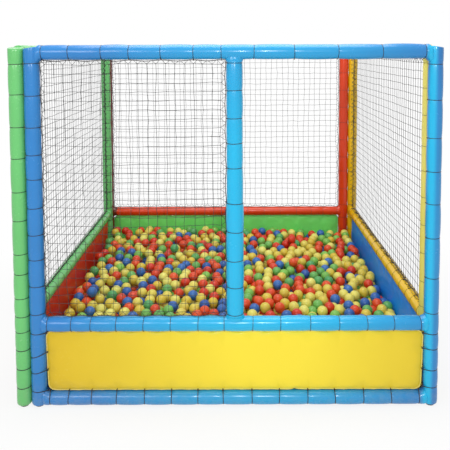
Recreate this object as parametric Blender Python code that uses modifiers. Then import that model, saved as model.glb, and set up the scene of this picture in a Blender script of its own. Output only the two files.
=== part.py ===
"""Ball pit: four padded tube frames set like a pinwheel, with nets above and padded panels below.

Metres, +Z up. The origin is on the floor under the middle of the pit, and the front faces -Y.
Every side is the front side turned about the middle, so all four are built in the front's place.
"""

import math
import random

import bmesh
import bpy
from mathutils import Matrix, Vector
from mathutils.geometry import delaunay_2d_cdt, intersect_line_line_2d

# Driving dimensions
post_spacing = 2.200  # between the two post axes of one frame
post_height = 2.010
beam_drop = 0.026  # from the top of the posts down to the top beam's axis
mid_rail_height = 0.467
clearance = 0.0003  # between pieces that touch

# Padded sleeves
post_pad_radius = 0.0425
rail_pad_radius = 0.040
pad_end_round = 0.006
pad_cap = 0.0025  # the skin that closes a post's sleeve at the top
rail_above_floor = 0.001

# Steel tubes
post_tube_radius = 0.02415
rail_tube_radius = 0.0212
tube_wall = 0.0025

# Feet
foot_flange = 0.006
foot_plug_length = 0.030

# Corner bolts
bolt_radius = 0.005
bolt_head_radius = 0.0095
bolt_head_length = 0.0064
bolt_pocket_radius = 0.0112
bolt_pocket_spare = 0.0015
bolt_height = 1.180

# Panels
panel_edge = 0.007  # half thickness at the laced rim
panel_crown = 0.009  # extra half thickness in the middle
panel_levelness = 4  # power that keeps the crown level until close to the rim
panel_draw = 0.006  # how far the rim draws in between two ties
panel_tie_spaces = 14
panel_rows = 2

# Nets
net_cord = 0.006
net_mesh = 0.200

# Floor mats
mat_thickness = 0.040
mat_bevel = 0.006

# Balls
ball_radius = 0.035
fill_edge = 0.285  # height of the filling in the corners, before its two slopes
fill_crown = 0.030  # how much higher it is in the middle
fill_fall = 0.020  # how much lower it is at the right wall than in the middle
fill_rise = 0.020  # how much higher it is at the back wall than in the middle
ball_margin = 0.130  # from the walls to the nearest loose ball
sunk_depth = 0.015  # how far under the filling's top the middle of a ball at its surface lies
sunk_scatter = 0.004  # how much higher or lower than that it may lie
surface_spacing = 0.0715  # least distance between two balls at the surface, seen from above
surface_tries = 30000
surface_seed = 11
dip_rise = 0.003  # how far over the filling's top the dips between those balls lie
quad_skew = math.radians(50)  # most that two joined triangles may lean from a rectangle
least_share = 0.12  # how near its end one line of the surface may be crossed by another
wall_spaces = 22  # between the points where the filling meets one wall
seat_radius = 0.025  # of the level spot that a loose ball rests on
seat_sides = 6
cup_radius = 0.0536  # from a loose ball's axis to the middles of the three balls under it
cup_turn = 0.7  # radians from one loose ball's three to the next one's
loose_balls = 6

# Faces round a circle
pad_sides = 16
tube_sides = 8
foot_sides = 12
bolt_sides = 8
hex_sides = 6
ball_segments = 12
ball_rings = 8

# Worked out from the sizes above
post_pitch = 2 * post_pad_radius + clearance  # between the two posts of a corner
frame_plane = (post_spacing + post_pitch) / 2  # from the middle to a frame's plane
first_post = -(post_spacing - post_pitch) / 2
second_post = first_post + post_spacing
centre_post = (first_post + second_post) / 2
top_beam_height = post_height - beam_drop
bottom_rail_height = rail_pad_radius + rail_above_floor
tube_bottom = foot_flange + clearance
tube_top = post_height - pad_cap - clearance
cut_over = rail_pad_radius  # how far a cutter runs past what it cuts
above_posts = post_height + cut_over  # where what cuts along a post ends
inside = frame_plane - post_pad_radius - clearance  # from the middle to the posts

# Colours
blue = (0.055, 0.300, 0.680, 1)
green = (0.190, 0.540, 0.180, 1)
yellow = (0.900, 0.560, 0.035, 1)
red = (0.660, 0.065, 0.020, 1)
panel_blue = (0.040, 0.130, 0.500, 1)
panel_green = (0.110, 0.520, 0.100, 1)
panel_yellow = (0.900, 0.640, 0.050, 1)
panel_red = (0.540, 0.035, 0.020, 1)
steel_grey = (0.560, 0.570, 0.580, 1)
foot_black = (0.020, 0.020, 0.022, 1)
net_black = (0.015, 0.015, 0.018, 1)
mat_blue = (0.030, 0.110, 0.360, 1)

along_x = (0, math.radians(90), 0)


def round_hole(radius, sides):
    """The corner radius of a many-sided hole that clears a round piece by the clearance."""
    return (radius + clearance) / math.cos(math.pi / sides)


for old in list(bpy.data.objects):
    bpy.data.objects.remove(old, do_unlink=True)


def new_collection(name):
    collection = bpy.data.collections.new(name)
    bpy.context.scene.collection.children.link(collection)
    return collection


parts = new_collection("ball_pit")
cutters = new_collection("cutters")


def finish(name, colour, roughness, metallic=0.0):
    """A material, made once under its name."""
    made = bpy.data.materials.get(name)
    if made is None:
        made = bpy.data.materials.new(name)
        made.use_nodes = True
        shader = made.node_tree.nodes["Principled BSDF"]
        shader.inputs["Base Color"].default_value = colour
        shader.inputs["Roughness"].default_value = roughness
        shader.inputs["Metallic"].default_value = metallic
        made.diffuse_color = colour
    return made


def add_part(name, mesh, look, parent=None, place=(0, 0, 0), turned=(0, 0, 0)):
    mesh.materials.append(look)
    obj = bpy.data.objects.new(name, mesh)
    parts.objects.link(obj)
    obj.parent = parent
    obj.location = place
    obj.rotation_euler = turned
    return obj


def add_cutter(name, mesh, parent, place, turned=(0, 0, 0)):
    obj = bpy.data.objects.new(name, mesh)
    cutters.objects.link(obj)
    obj.parent = parent
    obj.location = place
    obj.rotation_euler = turned
    obj.hide_render = True
    obj.display_type = "WIRE"
    return obj


def combine(obj, other, operation="DIFFERENCE"):
    step = obj.modifiers.new(other.name, "BOOLEAN")
    step.operation = operation
    step.solver = "EXACT"
    step.object = other


def cylinder(name, radius, low, high, sides):
    """A closed cylinder on the Z axis, from low to high."""
    mesh = bpy.data.meshes.new(name)
    build = bmesh.new()
    middle = Matrix.Translation((0, 0, (low + high) / 2))
    bmesh.ops.create_cone(
        build,
        cap_ends=True,
        segments=sides,
        radius1=radius,
        radius2=radius,
        depth=high - low,
        matrix=middle,
    )
    build.to_mesh(mesh)
    build.free()
    return mesh


def turned_part(name, points, closed, sides, look, parent, place, turned=(0, 0, 0)):
    """A piece turned on the Z axis from a profile that runs down its outer side."""
    mesh = bpy.data.meshes.new(name)
    build = bmesh.new()
    corners = [build.verts.new((radius, 0, height)) for radius, height in points]
    for start, end in zip(corners, corners[1:]):
        build.edges.new((start, end))
    if closed:
        build.edges.new((corners[-1], corners[0]))
    build.to_mesh(mesh)
    build.free()
    obj = add_part(name, mesh, look, parent, place, turned)
    screw = obj.modifiers.new("turned", "SCREW")
    screw.steps = sides
    screw.render_steps = sides
    screw.use_merge_vertices = True
    screw.merge_threshold = 0.0001
    return obj


class Side:
    """One of the four module frames, with the cutters that its pieces share."""

    def __init__(self, name, quarter_turns, colours, has_centre_post):
        self.name = name
        self.colours = colours
        self.has_centre_post = has_centre_post
        self.empty = bpy.data.objects.new(f"{name}_frame_place", None)
        parts.objects.link(self.empty)
        self.empty.rotation_euler = (0, 0, math.radians(90) * quarter_turns)
        self.rails = {
            "bottom_rail": bottom_rail_height,
            "mid_rail": mid_rail_height,
            "top_beam": top_beam_height,
        }
        self.posts = {"first_post": first_post, "second_post": second_post}

    def cutter(self, label, mesh, x, height=0.0, turned=(0, 0, 0)):
        return add_cutter(
            f"{self.name}_{label}", mesh, self.empty, (x, -frame_plane, height), turned
        )

    def rail_rod(self, label, radius, height, sides):
        """A rod on a rail's axis, between the two post axes."""
        mesh = cylinder(label, radius, 0, post_spacing, sides)
        return self.cutter(label, mesh, first_post, height, along_x)

    def post_rod(self, label, radius, x, sides, low=-cut_over, high=above_posts):
        return self.cutter(label, cylinder(label, radius, low, high, sides), x)

    def make_steel(self):
        """Outer tubes joined into one, then every bore cut from it."""
        steel = finish("galvanised_steel", steel_grey, 0.35, 1.0)
        mesh = cylinder("tube", post_tube_radius, tube_bottom, tube_top, tube_sides)
        place = (first_post, -frame_plane, 0)
        self.steel = add_part(f"{self.name}_steel_frame", mesh, steel, self.empty, place)
        rail_bore = rail_tube_radius - tube_wall
        stub = ("centre_stub", centre_post, tube_sides, mid_rail_height, top_beam_height)
        joined = [
            self.post_rod(
                "second_tube", post_tube_radius, second_post, tube_sides, tube_bottom, tube_top
            )
        ]
        for rail, height in self.rails.items():
            joined.append(self.rail_rod(f"{rail}_tube", rail_tube_radius, height, tube_sides))
        bores = []
        for post, x in self.posts.items():
            post_bore = post_tube_radius - tube_wall
            bores.append(self.post_rod(f"{post}_bore", post_bore, x, tube_sides))
        for rail, height in self.rails.items():
            bores.append(self.rail_rod(f"{rail}_bore", rail_bore, height, tube_sides))
        if self.has_centre_post:
            label, x, sides, low, high = stub
            joined.append(self.post_rod(label, rail_tube_radius, x, sides, low, high))
            bores.append(self.post_rod(f"{label}_bore", rail_bore, x, sides, low, high))
        for rod in joined:
            combine(self.steel, rod, "UNION")
        for rod in bores:
            combine(self.steel, rod)

    def make_sleeves(self):
        """Post sleeves with a hole for each rail, and rail sleeves shaped to the posts."""
        colour_name, colour = self.colours[0]
        vinyl = finish(f"{colour_name}_vinyl", colour, 0.35)
        post_bore = round_hole(post_tube_radius, pad_sides)
        rail_bore = round_hole(rail_tube_radius, pad_sides)
        rail_hole = round_hole(rail_tube_radius, tube_sides)
        holes = {
            rail: self.rail_rod(f"{rail}_hole", rail_hole, height, tube_sides)
            for rail, height in self.rails.items()
        }
        outer_post = post_pad_radius + clearance
        copes = [
            self.post_rod(f"{post}_cope", outer_post, x, pad_sides)
            for post, x in self.posts.items()
        ]
        self.post_sleeves = {}
        for post, x in self.posts.items():
            points = [
                (0, post_height),
                (post_pad_radius - pad_end_round, post_height),
                (post_pad_radius, post_height - pad_end_round),
                (post_pad_radius, 0),
                (post_bore, 0),
                (post_bore, post_height - pad_cap),
                (0, post_height - pad_cap),
            ]
            name = f"{self.name}_{post}_sleeve"
            place = (x, -frame_plane, 0)
            sleeve = turned_part(name, points, False, pad_sides, vinyl, self.empty, place)
            for hole in holes.values():
                combine(sleeve, hole)
            self.post_sleeves[post] = sleeve
        ring = [
            (rail_pad_radius, post_spacing),
            (rail_pad_radius, 0),
            (rail_bore, 0),
            (rail_bore, post_spacing),
        ]
        rail_sleeves = {}
        for rail, height in self.rails.items():
            name = f"{self.name}_{rail}_sleeve"
            place = (first_post, -frame_plane, height)
            sleeve = turned_part(
                name, ring, True, pad_sides, vinyl, self.empty, place, along_x
            )
            for cope in copes:
                combine(sleeve, cope)
            rail_sleeves[rail] = sleeve
        if self.has_centre_post:
            self.make_centre_sleeve(rail_sleeves, vinyl, rail_bore, rail_hole)

    def make_centre_sleeve(self, rail_sleeves, vinyl, bore, hole_radius):
        """The centre post's sleeve, between the mid rail's sleeve and the top beam's."""
        ring = [
            (rail_pad_radius, top_beam_height),
            (rail_pad_radius, mid_rail_height),
            (bore, mid_rail_height),
            (bore, top_beam_height),
        ]
        name = f"{self.name}_centre_post_sleeve"
        place = (centre_post, -frame_plane, 0)
        sleeve = turned_part(name, ring, True, pad_sides, vinyl, self.empty, place)
        hole = self.post_rod(
            "centre_hole", hole_radius, centre_post, tube_sides, mid_rail_height, top_beam_height
        )
        for rail in ("mid_rail", "top_beam"):
            rod = self.rail_rod(
                f"{rail}_cope", rail_pad_radius + clearance, self.rails[rail], pad_sides
            )
            combine(sleeve, rod)
            combine(rail_sleeves[rail], hole)

    def make_feet(self):
        """A plug in the bottom of each post tube, standing on the floor."""
        rubber = finish("black_rubber", foot_black, 0.7)
        bore_flat = (post_tube_radius - tube_wall) * math.cos(math.pi / tube_sides)
        plug = bore_flat - clearance
        points = [
            (0, foot_flange + foot_plug_length),
            (plug, foot_flange + foot_plug_length),
            (plug, foot_flange),
            (post_tube_radius, foot_flange),
            (post_tube_radius, 0),
            (0, 0),
        ]
        for post, x in self.posts.items():
            name = f"{self.name}_{post}_foot"
            place = (x, -frame_plane, 0)
            turned_part(name, points, False, foot_sides, rubber, self.empty, place)

    def make_panel(self):
        """A padded panel between bottom and mid rail: crowned, its rim drawn in between ties."""
        colour_name, colour = self.colours[1]
        left = first_post + post_pad_radius + clearance
        right = second_post - post_pad_radius - clearance
        low = bottom_rail_height + rail_pad_radius + clearance
        high = mid_rail_height - rail_pad_radius - clearance
        half_width = (right - left) / 2
        half_height = (high - low) / 2
        columns = 2 * panel_tie_spaces
        mesh = bpy.data.meshes.new("panel")
        build = bmesh.new()
        bmesh.ops.create_grid(build, x_segments=columns, y_segments=panel_rows, size=1)
        front = build.faces[:]
        back = bmesh.ops.extrude_face_region(build, geom=front)["geom"]
        back_verts = {item for item in back if isinstance(item, bmesh.types.BMVert)}
        for vert in build.verts:
            across, up = vert.co.x, vert.co.y
            crown = (1 - across**panel_levelness) * (1 - up**panel_levelness)
            half = panel_edge + panel_crown * crown
            column = round((across + 1) * panel_tie_spaces)
            between_ties = column % 2 == 1
            on_long_rim = abs(up) > 1 - 1 / columns
            on_short_rim = abs(across) > 1 - 1 / columns
            draw_up = panel_draw if on_long_rim and between_ties else 0
            draw_across = panel_draw if on_short_rim and not on_long_rim else 0
            vert.co.x = across * (half_width - draw_across)
            vert.co.z = up * (half_height - draw_up)
            vert.co.y = half if vert in back_verts else -half
        bmesh.ops.recalc_face_normals(build, faces=build.faces)
        build.to_mesh(mesh)
        build.free()
        look = finish(f"{colour_name}_panel_vinyl", colour, 0.4)
        place = ((left + right) / 2, -frame_plane, (low + high) / 2)
        add_part(f"{self.name}_panel", mesh, look, self.empty, place)

    def make_net(self, left, left_radius, right, right_radius):
        """A knotted net between two posts, from the mid rail to the top beam."""
        low = mid_rail_height + rail_pad_radius + clearance
        high = top_beam_height - rail_pad_radius - clearance
        left = left + left_radius + clearance
        right = right - right_radius - clearance
        width = right - left - net_cord
        height = high - low - net_cord
        mesh = bpy.data.meshes.new("net")
        build = bmesh.new()
        bmesh.ops.create_grid(
            build,
            x_segments=round(width / net_mesh),
            y_segments=round(height / net_mesh),
            size=1,
        )
        bmesh.ops.scale(build, vec=Vector((width / 2, height / 2, 1)), verts=build.verts)
        upright = Matrix.Rotation(math.radians(90), 3, "X")
        bmesh.ops.rotate(build, matrix=upright, verts=build.verts)
        build.to_mesh(mesh)
        build.free()
        place = ((left + right) / 2, -frame_plane, (low + high) / 2)
        look = finish("black_net_cord", net_black, 0.8)
        net = add_part(f"{self.name}_net", mesh, look, self.empty, place)
        strands = net.modifiers.new("strands", "WIREFRAME")
        strands.thickness = net_cord
        strands.use_boundary = True
        strands.use_even_offset = False

    def make_bolt(self, corner, neighbour):
        """A bolt through this side's first post and the neighbour's second post."""
        zinc = finish("zinc_bolt", steel_grey, 0.3, 1.0)
        head = post_tube_radius + clearance
        reach = head + bolt_head_length
        pocket = reach + bolt_pocket_spare
        hole_radius = round_hole(bolt_radius, bolt_sides)
        hole_reach = head + bolt_head_length / 2
        far_post = first_post - post_pitch
        near_sleeve = self.post_sleeves["first_post"]
        far_sleeve = neighbour.post_sleeves["second_post"]

        def rod(label, radius, low, high, sides, x):
            mesh = cylinder(label, radius, low, high, sides)
            return self.cutter(f"{corner}_{label}", mesh, x, bolt_height, along_x)

        hole = rod(
            "bolt_hole", hole_radius, -hole_reach, post_pitch + hole_reach, bolt_sides, far_post
        )
        for piece in (self.steel, neighbour.steel, near_sleeve, far_sleeve):
            combine(piece, hole)
        near = rod("near_pocket", bolt_pocket_radius, 0, pocket, bolt_sides, first_post)
        far = rod("far_pocket", bolt_pocket_radius, -pocket, 0, bolt_sides, far_post)
        combine(near_sleeve, near)
        combine(far_sleeve, far)
        shank = cylinder("bolt", bolt_radius, -head, post_pitch + head, bolt_sides)
        place = (far_post, -frame_plane, bolt_height)
        bolt = add_part(f"{corner}_bolt", shank, zinc, self.empty, place, along_x)
        nut_face = post_pitch + head
        for label, low in (("bolt_head", -reach), ("bolt_nut", nut_face)):
            high = low + bolt_head_length
            combine(bolt, rod(label, bolt_head_radius, low, high, hex_sides, far_post), "UNION")


def make_mats():
    """Four padded mats, one to a quarter of the floor."""
    look = finish("mat_vinyl", mat_blue, 0.5)
    size = inside - clearance / 2
    middle = (inside + clearance / 2) / 2
    for depth, along in (("front", -1), ("back", 1)):
        for hand, across in (("left", -1), ("right", 1)):
            mesh = bpy.data.meshes.new("mat")
            build = bmesh.new()
            bmesh.ops.create_cube(build, size=1)
            bmesh.ops.scale(build, vec=Vector((size, size, mat_thickness)), verts=build.verts)
            build.to_mesh(mesh)
            build.free()
            place = (across * middle, along * middle, mat_thickness / 2)
            mat = add_part(f"floor_mat_{depth}_{hand}", mesh, look, None, place)
            rounded = mat.modifiers.new("rounded", "BEVEL")
            rounded.width = mat_bevel
            rounded.segments = 1


def fill_top(x, y):
    """Height of the filling: crowned in the middle, and heaped up towards the left and back."""
    across, along = x / inside, y / inside
    crown = 1 - (across**2 + along**2) / 2
    return fill_edge + fill_crown * crown - fill_fall * across + fill_rise * along


def ball_places():
    """Well-spread places on the filling, from the plastic number's fractions."""
    plastic_number = 1.3247179572
    span = inside - ball_margin
    number = 0
    while True:
        number += 1
        across = (number / plastic_number) % 1
        along = (number / plastic_number**2) % 1
        yield (2 * across - 1) * span, (2 * along - 1) * span


def ball_mesh(segments, rings):
    mesh = bpy.data.meshes.new("ball")
    build = bmesh.new()
    bmesh.ops.create_uvsphere(
        build, u_segments=segments, v_segments=rings, radius=ball_radius
    )
    build.to_mesh(mesh)
    build.free()
    return mesh


def surface_balls(seats):
    """Middles of the balls at the filling's surface: three round each loose ball, the rest apart."""
    found = []
    for number, (x, y) in enumerate(seats):
        for third in range(3):
            angle = number * cup_turn + third * math.radians(120)
            spot = (x + cup_radius * math.cos(angle), y + cup_radius * math.sin(angle))
            found.append((*spot, fill_top(*spot) - sunk_depth))
    draw = random.Random(surface_seed)
    reach = inside - ball_radius
    cells = {}

    def cell(x, y):
        return math.floor(x / surface_spacing), math.floor(y / surface_spacing)

    for spot in found:
        cells.setdefault(cell(*spot[:2]), []).append(spot)
    for number in range(surface_tries):
        x, y = draw.uniform(-reach, reach), draw.uniform(-reach, reach)
        lift = draw.uniform(-sunk_scatter, sunk_scatter)
        column, row = cell(x, y)
        near = [
            other
            for step in (-1, 0, 1)
            for side_step in (-1, 0, 1)
            for other in cells.get((column + step, row + side_step), ())
        ]
        crowded = any(math.hypot(x - other[0], y - other[1]) < surface_spacing for other in near)
        seated = any(math.hypot(x - seat[0], y - seat[1]) < surface_spacing for seat in seats)
        if not crowded and not seated:
            spot = (x, y, fill_top(x, y) - sunk_depth + lift)
            cells.setdefault((column, row), []).append(spot)
            found.append(spot)
    return found


def turns_well(edge):
    """Whether an edge between two triangles can turn to join their other two corners."""
    start, end = (vert.co for vert in edge.verts)
    left, right = (
        next(vert.co for vert in face.verts if vert not in edge.verts) for face in edge.link_faces
    )
    crossing = intersect_line_line_2d(start.xy, end.xy, left.xy, right.xy)
    if crossing is None:
        return False
    share = (crossing - start.xy).length / (end - start).xy.length
    return least_share < share < 1 - least_share


def make_filling(seats):
    """The mass of balls as one heap: a peak for each ball at its surface, and dips between."""
    peaks = surface_balls(seats)
    points = [Vector(spot[:2]) for spot in peaks]
    level = []
    for x, y in seats:
        level.append(Vector((x, y)))
        for number in range(seat_sides):
            angle = number * math.radians(360) / seat_sides
            level.append(Vector((x, y)) + seat_radius * Vector((math.cos(angle), math.sin(angle))))
    for number in range(wall_spaces):
        at = inside * (2 * number / wall_spaces - 1)
        level += [
            Vector(spot) for spot in ((at, -inside), (inside, at), (-at, inside), (-inside, -at))
        ]
    joined = delaunay_2d_cdt(points + level, [], [], 0, clearance)
    build = bmesh.new()
    verts = [build.verts.new((*spot, 0)) for spot in joined[0]]
    for corners in joined[2]:
        build.faces.new([verts[corner] for corner in corners])
    for vert, origins in zip(verts, joined[3]):
        x, y, _ = vert.co
        first = origins[0]
        vert.co.z = peaks[first][2] + ball_radius if first < len(peaks) else fill_top(x, y)
    heights = [vert.co.z for vert in verts]
    for vert in verts:
        vert.co.z = 0
    bmesh.ops.join_triangles(
        build,
        faces=build.faces[:],
        angle_face_threshold=math.pi,
        angle_shape_threshold=quad_skew,
    )
    ridges = [edge for edge in build.edges if len(edge.link_faces) == 2]
    dips = bmesh.ops.poke(build, faces=build.faces[:])["verts"]
    on_level = set(verts[len(peaks):])
    for edge in ridges:
        if not on_level.issuperset(edge.verts) and turns_well(edge):
            bmesh.utils.edge_rotate(edge)
    for vert, height in zip(verts, heights):
        vert.co.z = height
    for vert in dips:
        x, y, _ = vert.co
        seated = any(math.hypot(x - seat[0], y - seat[1]) < seat_radius for seat in seats)
        vert.co.z = fill_top(x, y) + (0 if seated else dip_rise)
    bottom = bmesh.ops.extrude_face_region(build, geom=build.faces[:])["geom"]
    bottom_verts = {item for item in bottom if isinstance(item, bmesh.types.BMVert)}
    for vert in bottom_verts:
        vert.co.z = mat_thickness + clearance
    bottom_faces = [face for face in build.faces if bottom_verts.issuperset(face.verts)]
    bmesh.ops.dissolve_faces(build, faces=bottom_faces)
    bmesh.ops.recalc_face_normals(build, faces=build.faces)
    mesh = bpy.data.meshes.new("filling")
    build.to_mesh(mesh)
    build.free()
    mesh.shade_smooth()
    add_part("ball_filling", mesh, finish("ball_plastic", red, 0.3), None, (0, 0, 0))


def make_loose_balls(seats):
    """Balls that lie on top of the filling and lift straight out."""
    colours = (
        ("red", red),
        ("yellow", yellow),
        ("green", green),
        ("blue", blue),
    )
    for number, (x, y) in enumerate(seats):
        colour_name, colour = colours[number % len(colours)]
        place = (x, y, fill_top(x, y) + ball_radius + clearance)
        mesh = ball_mesh(ball_segments, ball_rings)
        mesh.shade_smooth()
        look = finish(f"{colour_name}_ball_plastic", colour, 0.3)
        add_part(f"loose_ball_{number + 1}_{colour_name}", mesh, look, None, place)


front = Side("front", 0, (("blue", blue), ("yellow", panel_yellow)), True)
right = Side("right", 1, (("yellow", yellow), ("blue", panel_blue)), False)
back = Side("back", 2, (("red", red), ("green", panel_green)), False)
left = Side("left", 3, (("green", green), ("red", panel_red)), False)
sides = (front, right, back, left)

for side in sides:
    side.make_steel()
    side.make_sleeves()
    side.make_feet()
    side.make_panel()

front.make_net(first_post, post_pad_radius, centre_post, rail_pad_radius)
for side in (right, back, left):
    side.make_net(first_post, post_pad_radius, second_post, post_pad_radius)

front.make_bolt("front_left", left)
right.make_bolt("front_right", front)
back.make_bolt("back_right", right)
left.make_bolt("back_left", back)

make_mats()
seats = [place for number, place in zip(range(loose_balls), ball_places())]
make_loose_balls(seats)
make_filling(seats)

print(len(parts.objects), "objects in the part's collection")
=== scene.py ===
# %% [markdown]
# # A ball pit of padded tubes
#
# The real pit is four steel frames, one to a side, dressed in foam and glossy vinyl.
# Nets close the upper half, padded panels the lower half, and loose balls fill the bottom.
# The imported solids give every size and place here. This script adds the looks: padding that
# is pinched by its ties, panels that swell between their ties, knotted nets, and a heap of
# balls that really touch each other.

import math
import random

import bpy
import numpy as np
from mathutils import Matrix, Vector, kdtree


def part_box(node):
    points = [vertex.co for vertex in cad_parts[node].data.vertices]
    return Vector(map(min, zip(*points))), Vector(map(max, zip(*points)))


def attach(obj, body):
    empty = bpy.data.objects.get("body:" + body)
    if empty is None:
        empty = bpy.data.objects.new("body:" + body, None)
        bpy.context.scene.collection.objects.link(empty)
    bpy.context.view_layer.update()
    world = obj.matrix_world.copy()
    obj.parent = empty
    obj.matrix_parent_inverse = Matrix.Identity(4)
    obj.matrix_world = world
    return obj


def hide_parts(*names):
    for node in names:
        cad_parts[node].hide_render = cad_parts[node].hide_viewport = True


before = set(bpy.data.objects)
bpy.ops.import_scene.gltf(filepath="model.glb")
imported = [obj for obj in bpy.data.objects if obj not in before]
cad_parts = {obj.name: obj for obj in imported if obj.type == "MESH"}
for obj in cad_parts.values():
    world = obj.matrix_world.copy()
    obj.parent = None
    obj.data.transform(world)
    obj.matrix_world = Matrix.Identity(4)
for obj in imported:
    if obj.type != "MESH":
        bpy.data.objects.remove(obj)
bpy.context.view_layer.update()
pit = "pit"  # the body that everything but the loose balls rides on

# %% [markdown]
# ## The camera
#
# The picture was taken from a little over two metres up, almost level, and then cropped
# low. A camera that is tilted down would make the posts lean together, so the crop is
# copied with the lens shift instead, which keeps the upright lines upright.

# %% Camera
picture_side = 450  # pixels
focal_length = 591.1  # pixels
optical_centre = (236.5, 86.1)  # pixels from the picture's left and top
camera_place = Vector((0.0579, -4.3594, 2.0061))
tilt_down = math.radians(3.708)
roll = math.radians(-0.185)

bpy.ops.object.select_all(action="DESELECT")
bpy.ops.object.camera_add()
camera = bpy.context.object
camera.name = "camera"
level = math.radians(90)
camera.matrix_world = (
    Matrix.Translation(camera_place)
    @ Matrix.Rotation(level - tilt_down, 4, "X")
    @ Matrix.Rotation(roll, 4, "Z")
)
camera.data.sensor_width = 36.0
camera.data.lens = camera.data.sensor_width * focal_length / picture_side
camera.data.shift_x = 0.5 - optical_centre[0] / picture_side
camera.data.shift_y = optical_centre[1] / picture_side - 0.5
bpy.context.scene.camera = camera
print("lens", round(camera.data.lens, 2), "mm, shift", round(camera.data.shift_y, 3))

# %% [markdown]
# ## Small helpers for modelling by hand
#
# An operator works on whatever is selected, so each helper first selects exactly what it
# means to change. Every finished piece has its place in its mesh and its origin at the
# middle of the floor, because the patterns of the materials are laid out from there.

# %% Helpers
def deselect():
    bpy.ops.object.select_all(action="DESELECT")


def edit_mode(on=True):
    """Go into edit mode, or back out of it."""
    bpy.ops.object.mode_set(mode="EDIT" if on else "OBJECT")


def take(piece):
    """Select one piece alone and make it the active one."""
    deselect()
    piece.select_set(True)
    bpy.context.view_layer.objects.active = piece
    return piece


def named(name):
    """Name the primitive that was just added, and put its place into its mesh."""
    piece = bpy.context.object
    piece.name = piece.data.name = name
    bpy.ops.object.transform_apply(location=True, rotation=True, scale=True)
    return take(piece)


def apply_modifier(piece, kind, **settings):
    """Add one modifier and apply it."""
    take(piece)
    modifier = piece.modifiers.new(kind.lower(), kind)
    for setting, value in settings.items():
        setattr(modifier, setting, value)
    bpy.ops.object.modifier_apply(modifier=modifier.name)


def round_steps(piece):
    """Subdivide once, which rounds every step of a piece."""
    apply_modifier(piece, "SUBSURF", levels=1, render_levels=1)


def select_parts(piece, parts, test):
    """In edit mode, select the vertices or faces that pass a test."""
    bpy.ops.mesh.select_all(action="DESELECT")
    edit_mode(False)
    for part in getattr(piece.data, parts):
        part.select = test(part)
    edit_mode()


def join(name, pieces):
    """Join pieces into one."""
    take(pieces[0])
    for piece in pieces:
        piece.select_set(True)
    bpy.ops.object.join()
    pieces[0].name = pieces[0].data.name = name
    return take(pieces[0])


def copy_piece(piece, name, matrix):
    """A copy with a mesh of its own, moved by a matrix."""
    copy = piece.copy()
    copy.data = piece.data.copy()
    copy.name = copy.data.name = name
    copy.data.transform(matrix)
    bpy.context.scene.collection.objects.link(copy)
    return copy


def mesh_piece(name, points, edges, faces):
    """A piece from points with edges or faces between them."""
    mesh = bpy.data.meshes.new(name)
    mesh.from_pydata(points, edges, faces)
    piece = bpy.data.objects.new(name, mesh)
    bpy.context.scene.collection.objects.link(piece)
    return piece


def copied_mesh(name, copies, faces):
    """One piece of many copies, from the points of every copy and the faces of one."""
    shift = np.arange(len(copies))[:, None, None] * copies.shape[1]
    every_face = (shift + faces[None]).reshape(-1, faces.shape[1])
    return mesh_piece(name, copies.reshape(-1, 3).tolist(), [], every_face.tolist())


def take_shape():
    """Points and faces of the primitive that was just added, which is then removed."""
    piece = bpy.context.object
    points = np.array([vertex.co[:] for vertex in piece.data.vertices])
    faces = np.array([face.vertices[:] for face in piece.data.polygons])
    bpy.data.objects.remove(piece, do_unlink=True)
    return points, faces


def store(piece, **attributes):
    """Store a number for each vertex under each name, for the materials to read."""
    for name, values in attributes.items():
        attribute = piece.data.attributes.new(name, "FLOAT", "POINT")
        attribute.data.foreach_set("value", np.asarray(values, dtype=np.float32))


def triangles(piece):
    piece.data.calc_loop_triangles()
    return len(piece.data.loop_triangles)


def dress(piece, material, slot, *nodes):
    """Give a finished piece its material and its body, and hide the solids it stands for; slot is
    not used.
    """
    piece.data.materials.clear()
    piece.data.materials.append(material)
    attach(piece, pit)
    if nodes:
        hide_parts(*nodes)


chance = np.random.default_rng(7)

# %% [markdown]
# ## Node groups that several finishes share
#
# Vinyl, plastic and cord all need the same few effects, so each effect is a node group
# with named inputs. A group only gives colours and numbers; the shader stays in the
# material. Heights are in metres, which keeps a bump at the size of the real thing.

# %% Helpers for nodes
def put(socket, value):
    """Link an input to another socket, or give it a value."""
    if isinstance(value, bpy.types.NodeSocket):
        socket.id_data.links.new(value, socket)
    else:
        socket.default_value = value


def add_node(tree, kind, *inputs, out=0, **settings):
    """Add a node and return one output; a setting is an option or an input by its name."""
    node = tree.nodes.new("ShaderNode" + kind)
    for name, value in settings.items():
        if hasattr(node, name):
            setattr(node, name, value)
        else:
            put(node.inputs[name.replace("_", " ")], value)
    for socket, value in zip(node.inputs, inputs):
        put(socket, value)
    return node.outputs[out]


def times(tree, product, *factors):
    for factor in factors:
        product = add_node(tree, "Math", product, factor, operation="MULTIPLY")
    return product


def spread(tree, value, low, high, to_low=0.0, to_high=1.0):
    """A Map Range node, which keeps its result inside the new range."""
    return add_node(tree, "MapRange", value, low, high, to_low, to_high)


def blend(tree, amount, first, second):
    """A Mix node for colours."""
    node = tree.nodes.new("ShaderNodeMix")
    node.data_type = "RGBA"
    for index, value in ((0, amount), (6, first), (7, second)):
        put(node.inputs[index], value)
    return node.outputs[2]


def noise(tree, place, scale, detail=2.0, rough=0.5):
    """A noise texture at a place, in metres."""
    size = {"Scale": scale, "Detail": detail, "Roughness": rough}
    return add_node(tree, "TexNoise", out="Fac", Vector=place, **size)


def object_place(tree):
    return add_node(tree, "TexCoord", out="Object")


def stored(tree, label):
    """A number that the mesh carries on each vertex."""
    return add_node(tree, "Attribute", out="Fac", attribute_name=label)


def bump(tree, height):
    return add_node(tree, "Bump", Distance=1.0, Height=height)


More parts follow.
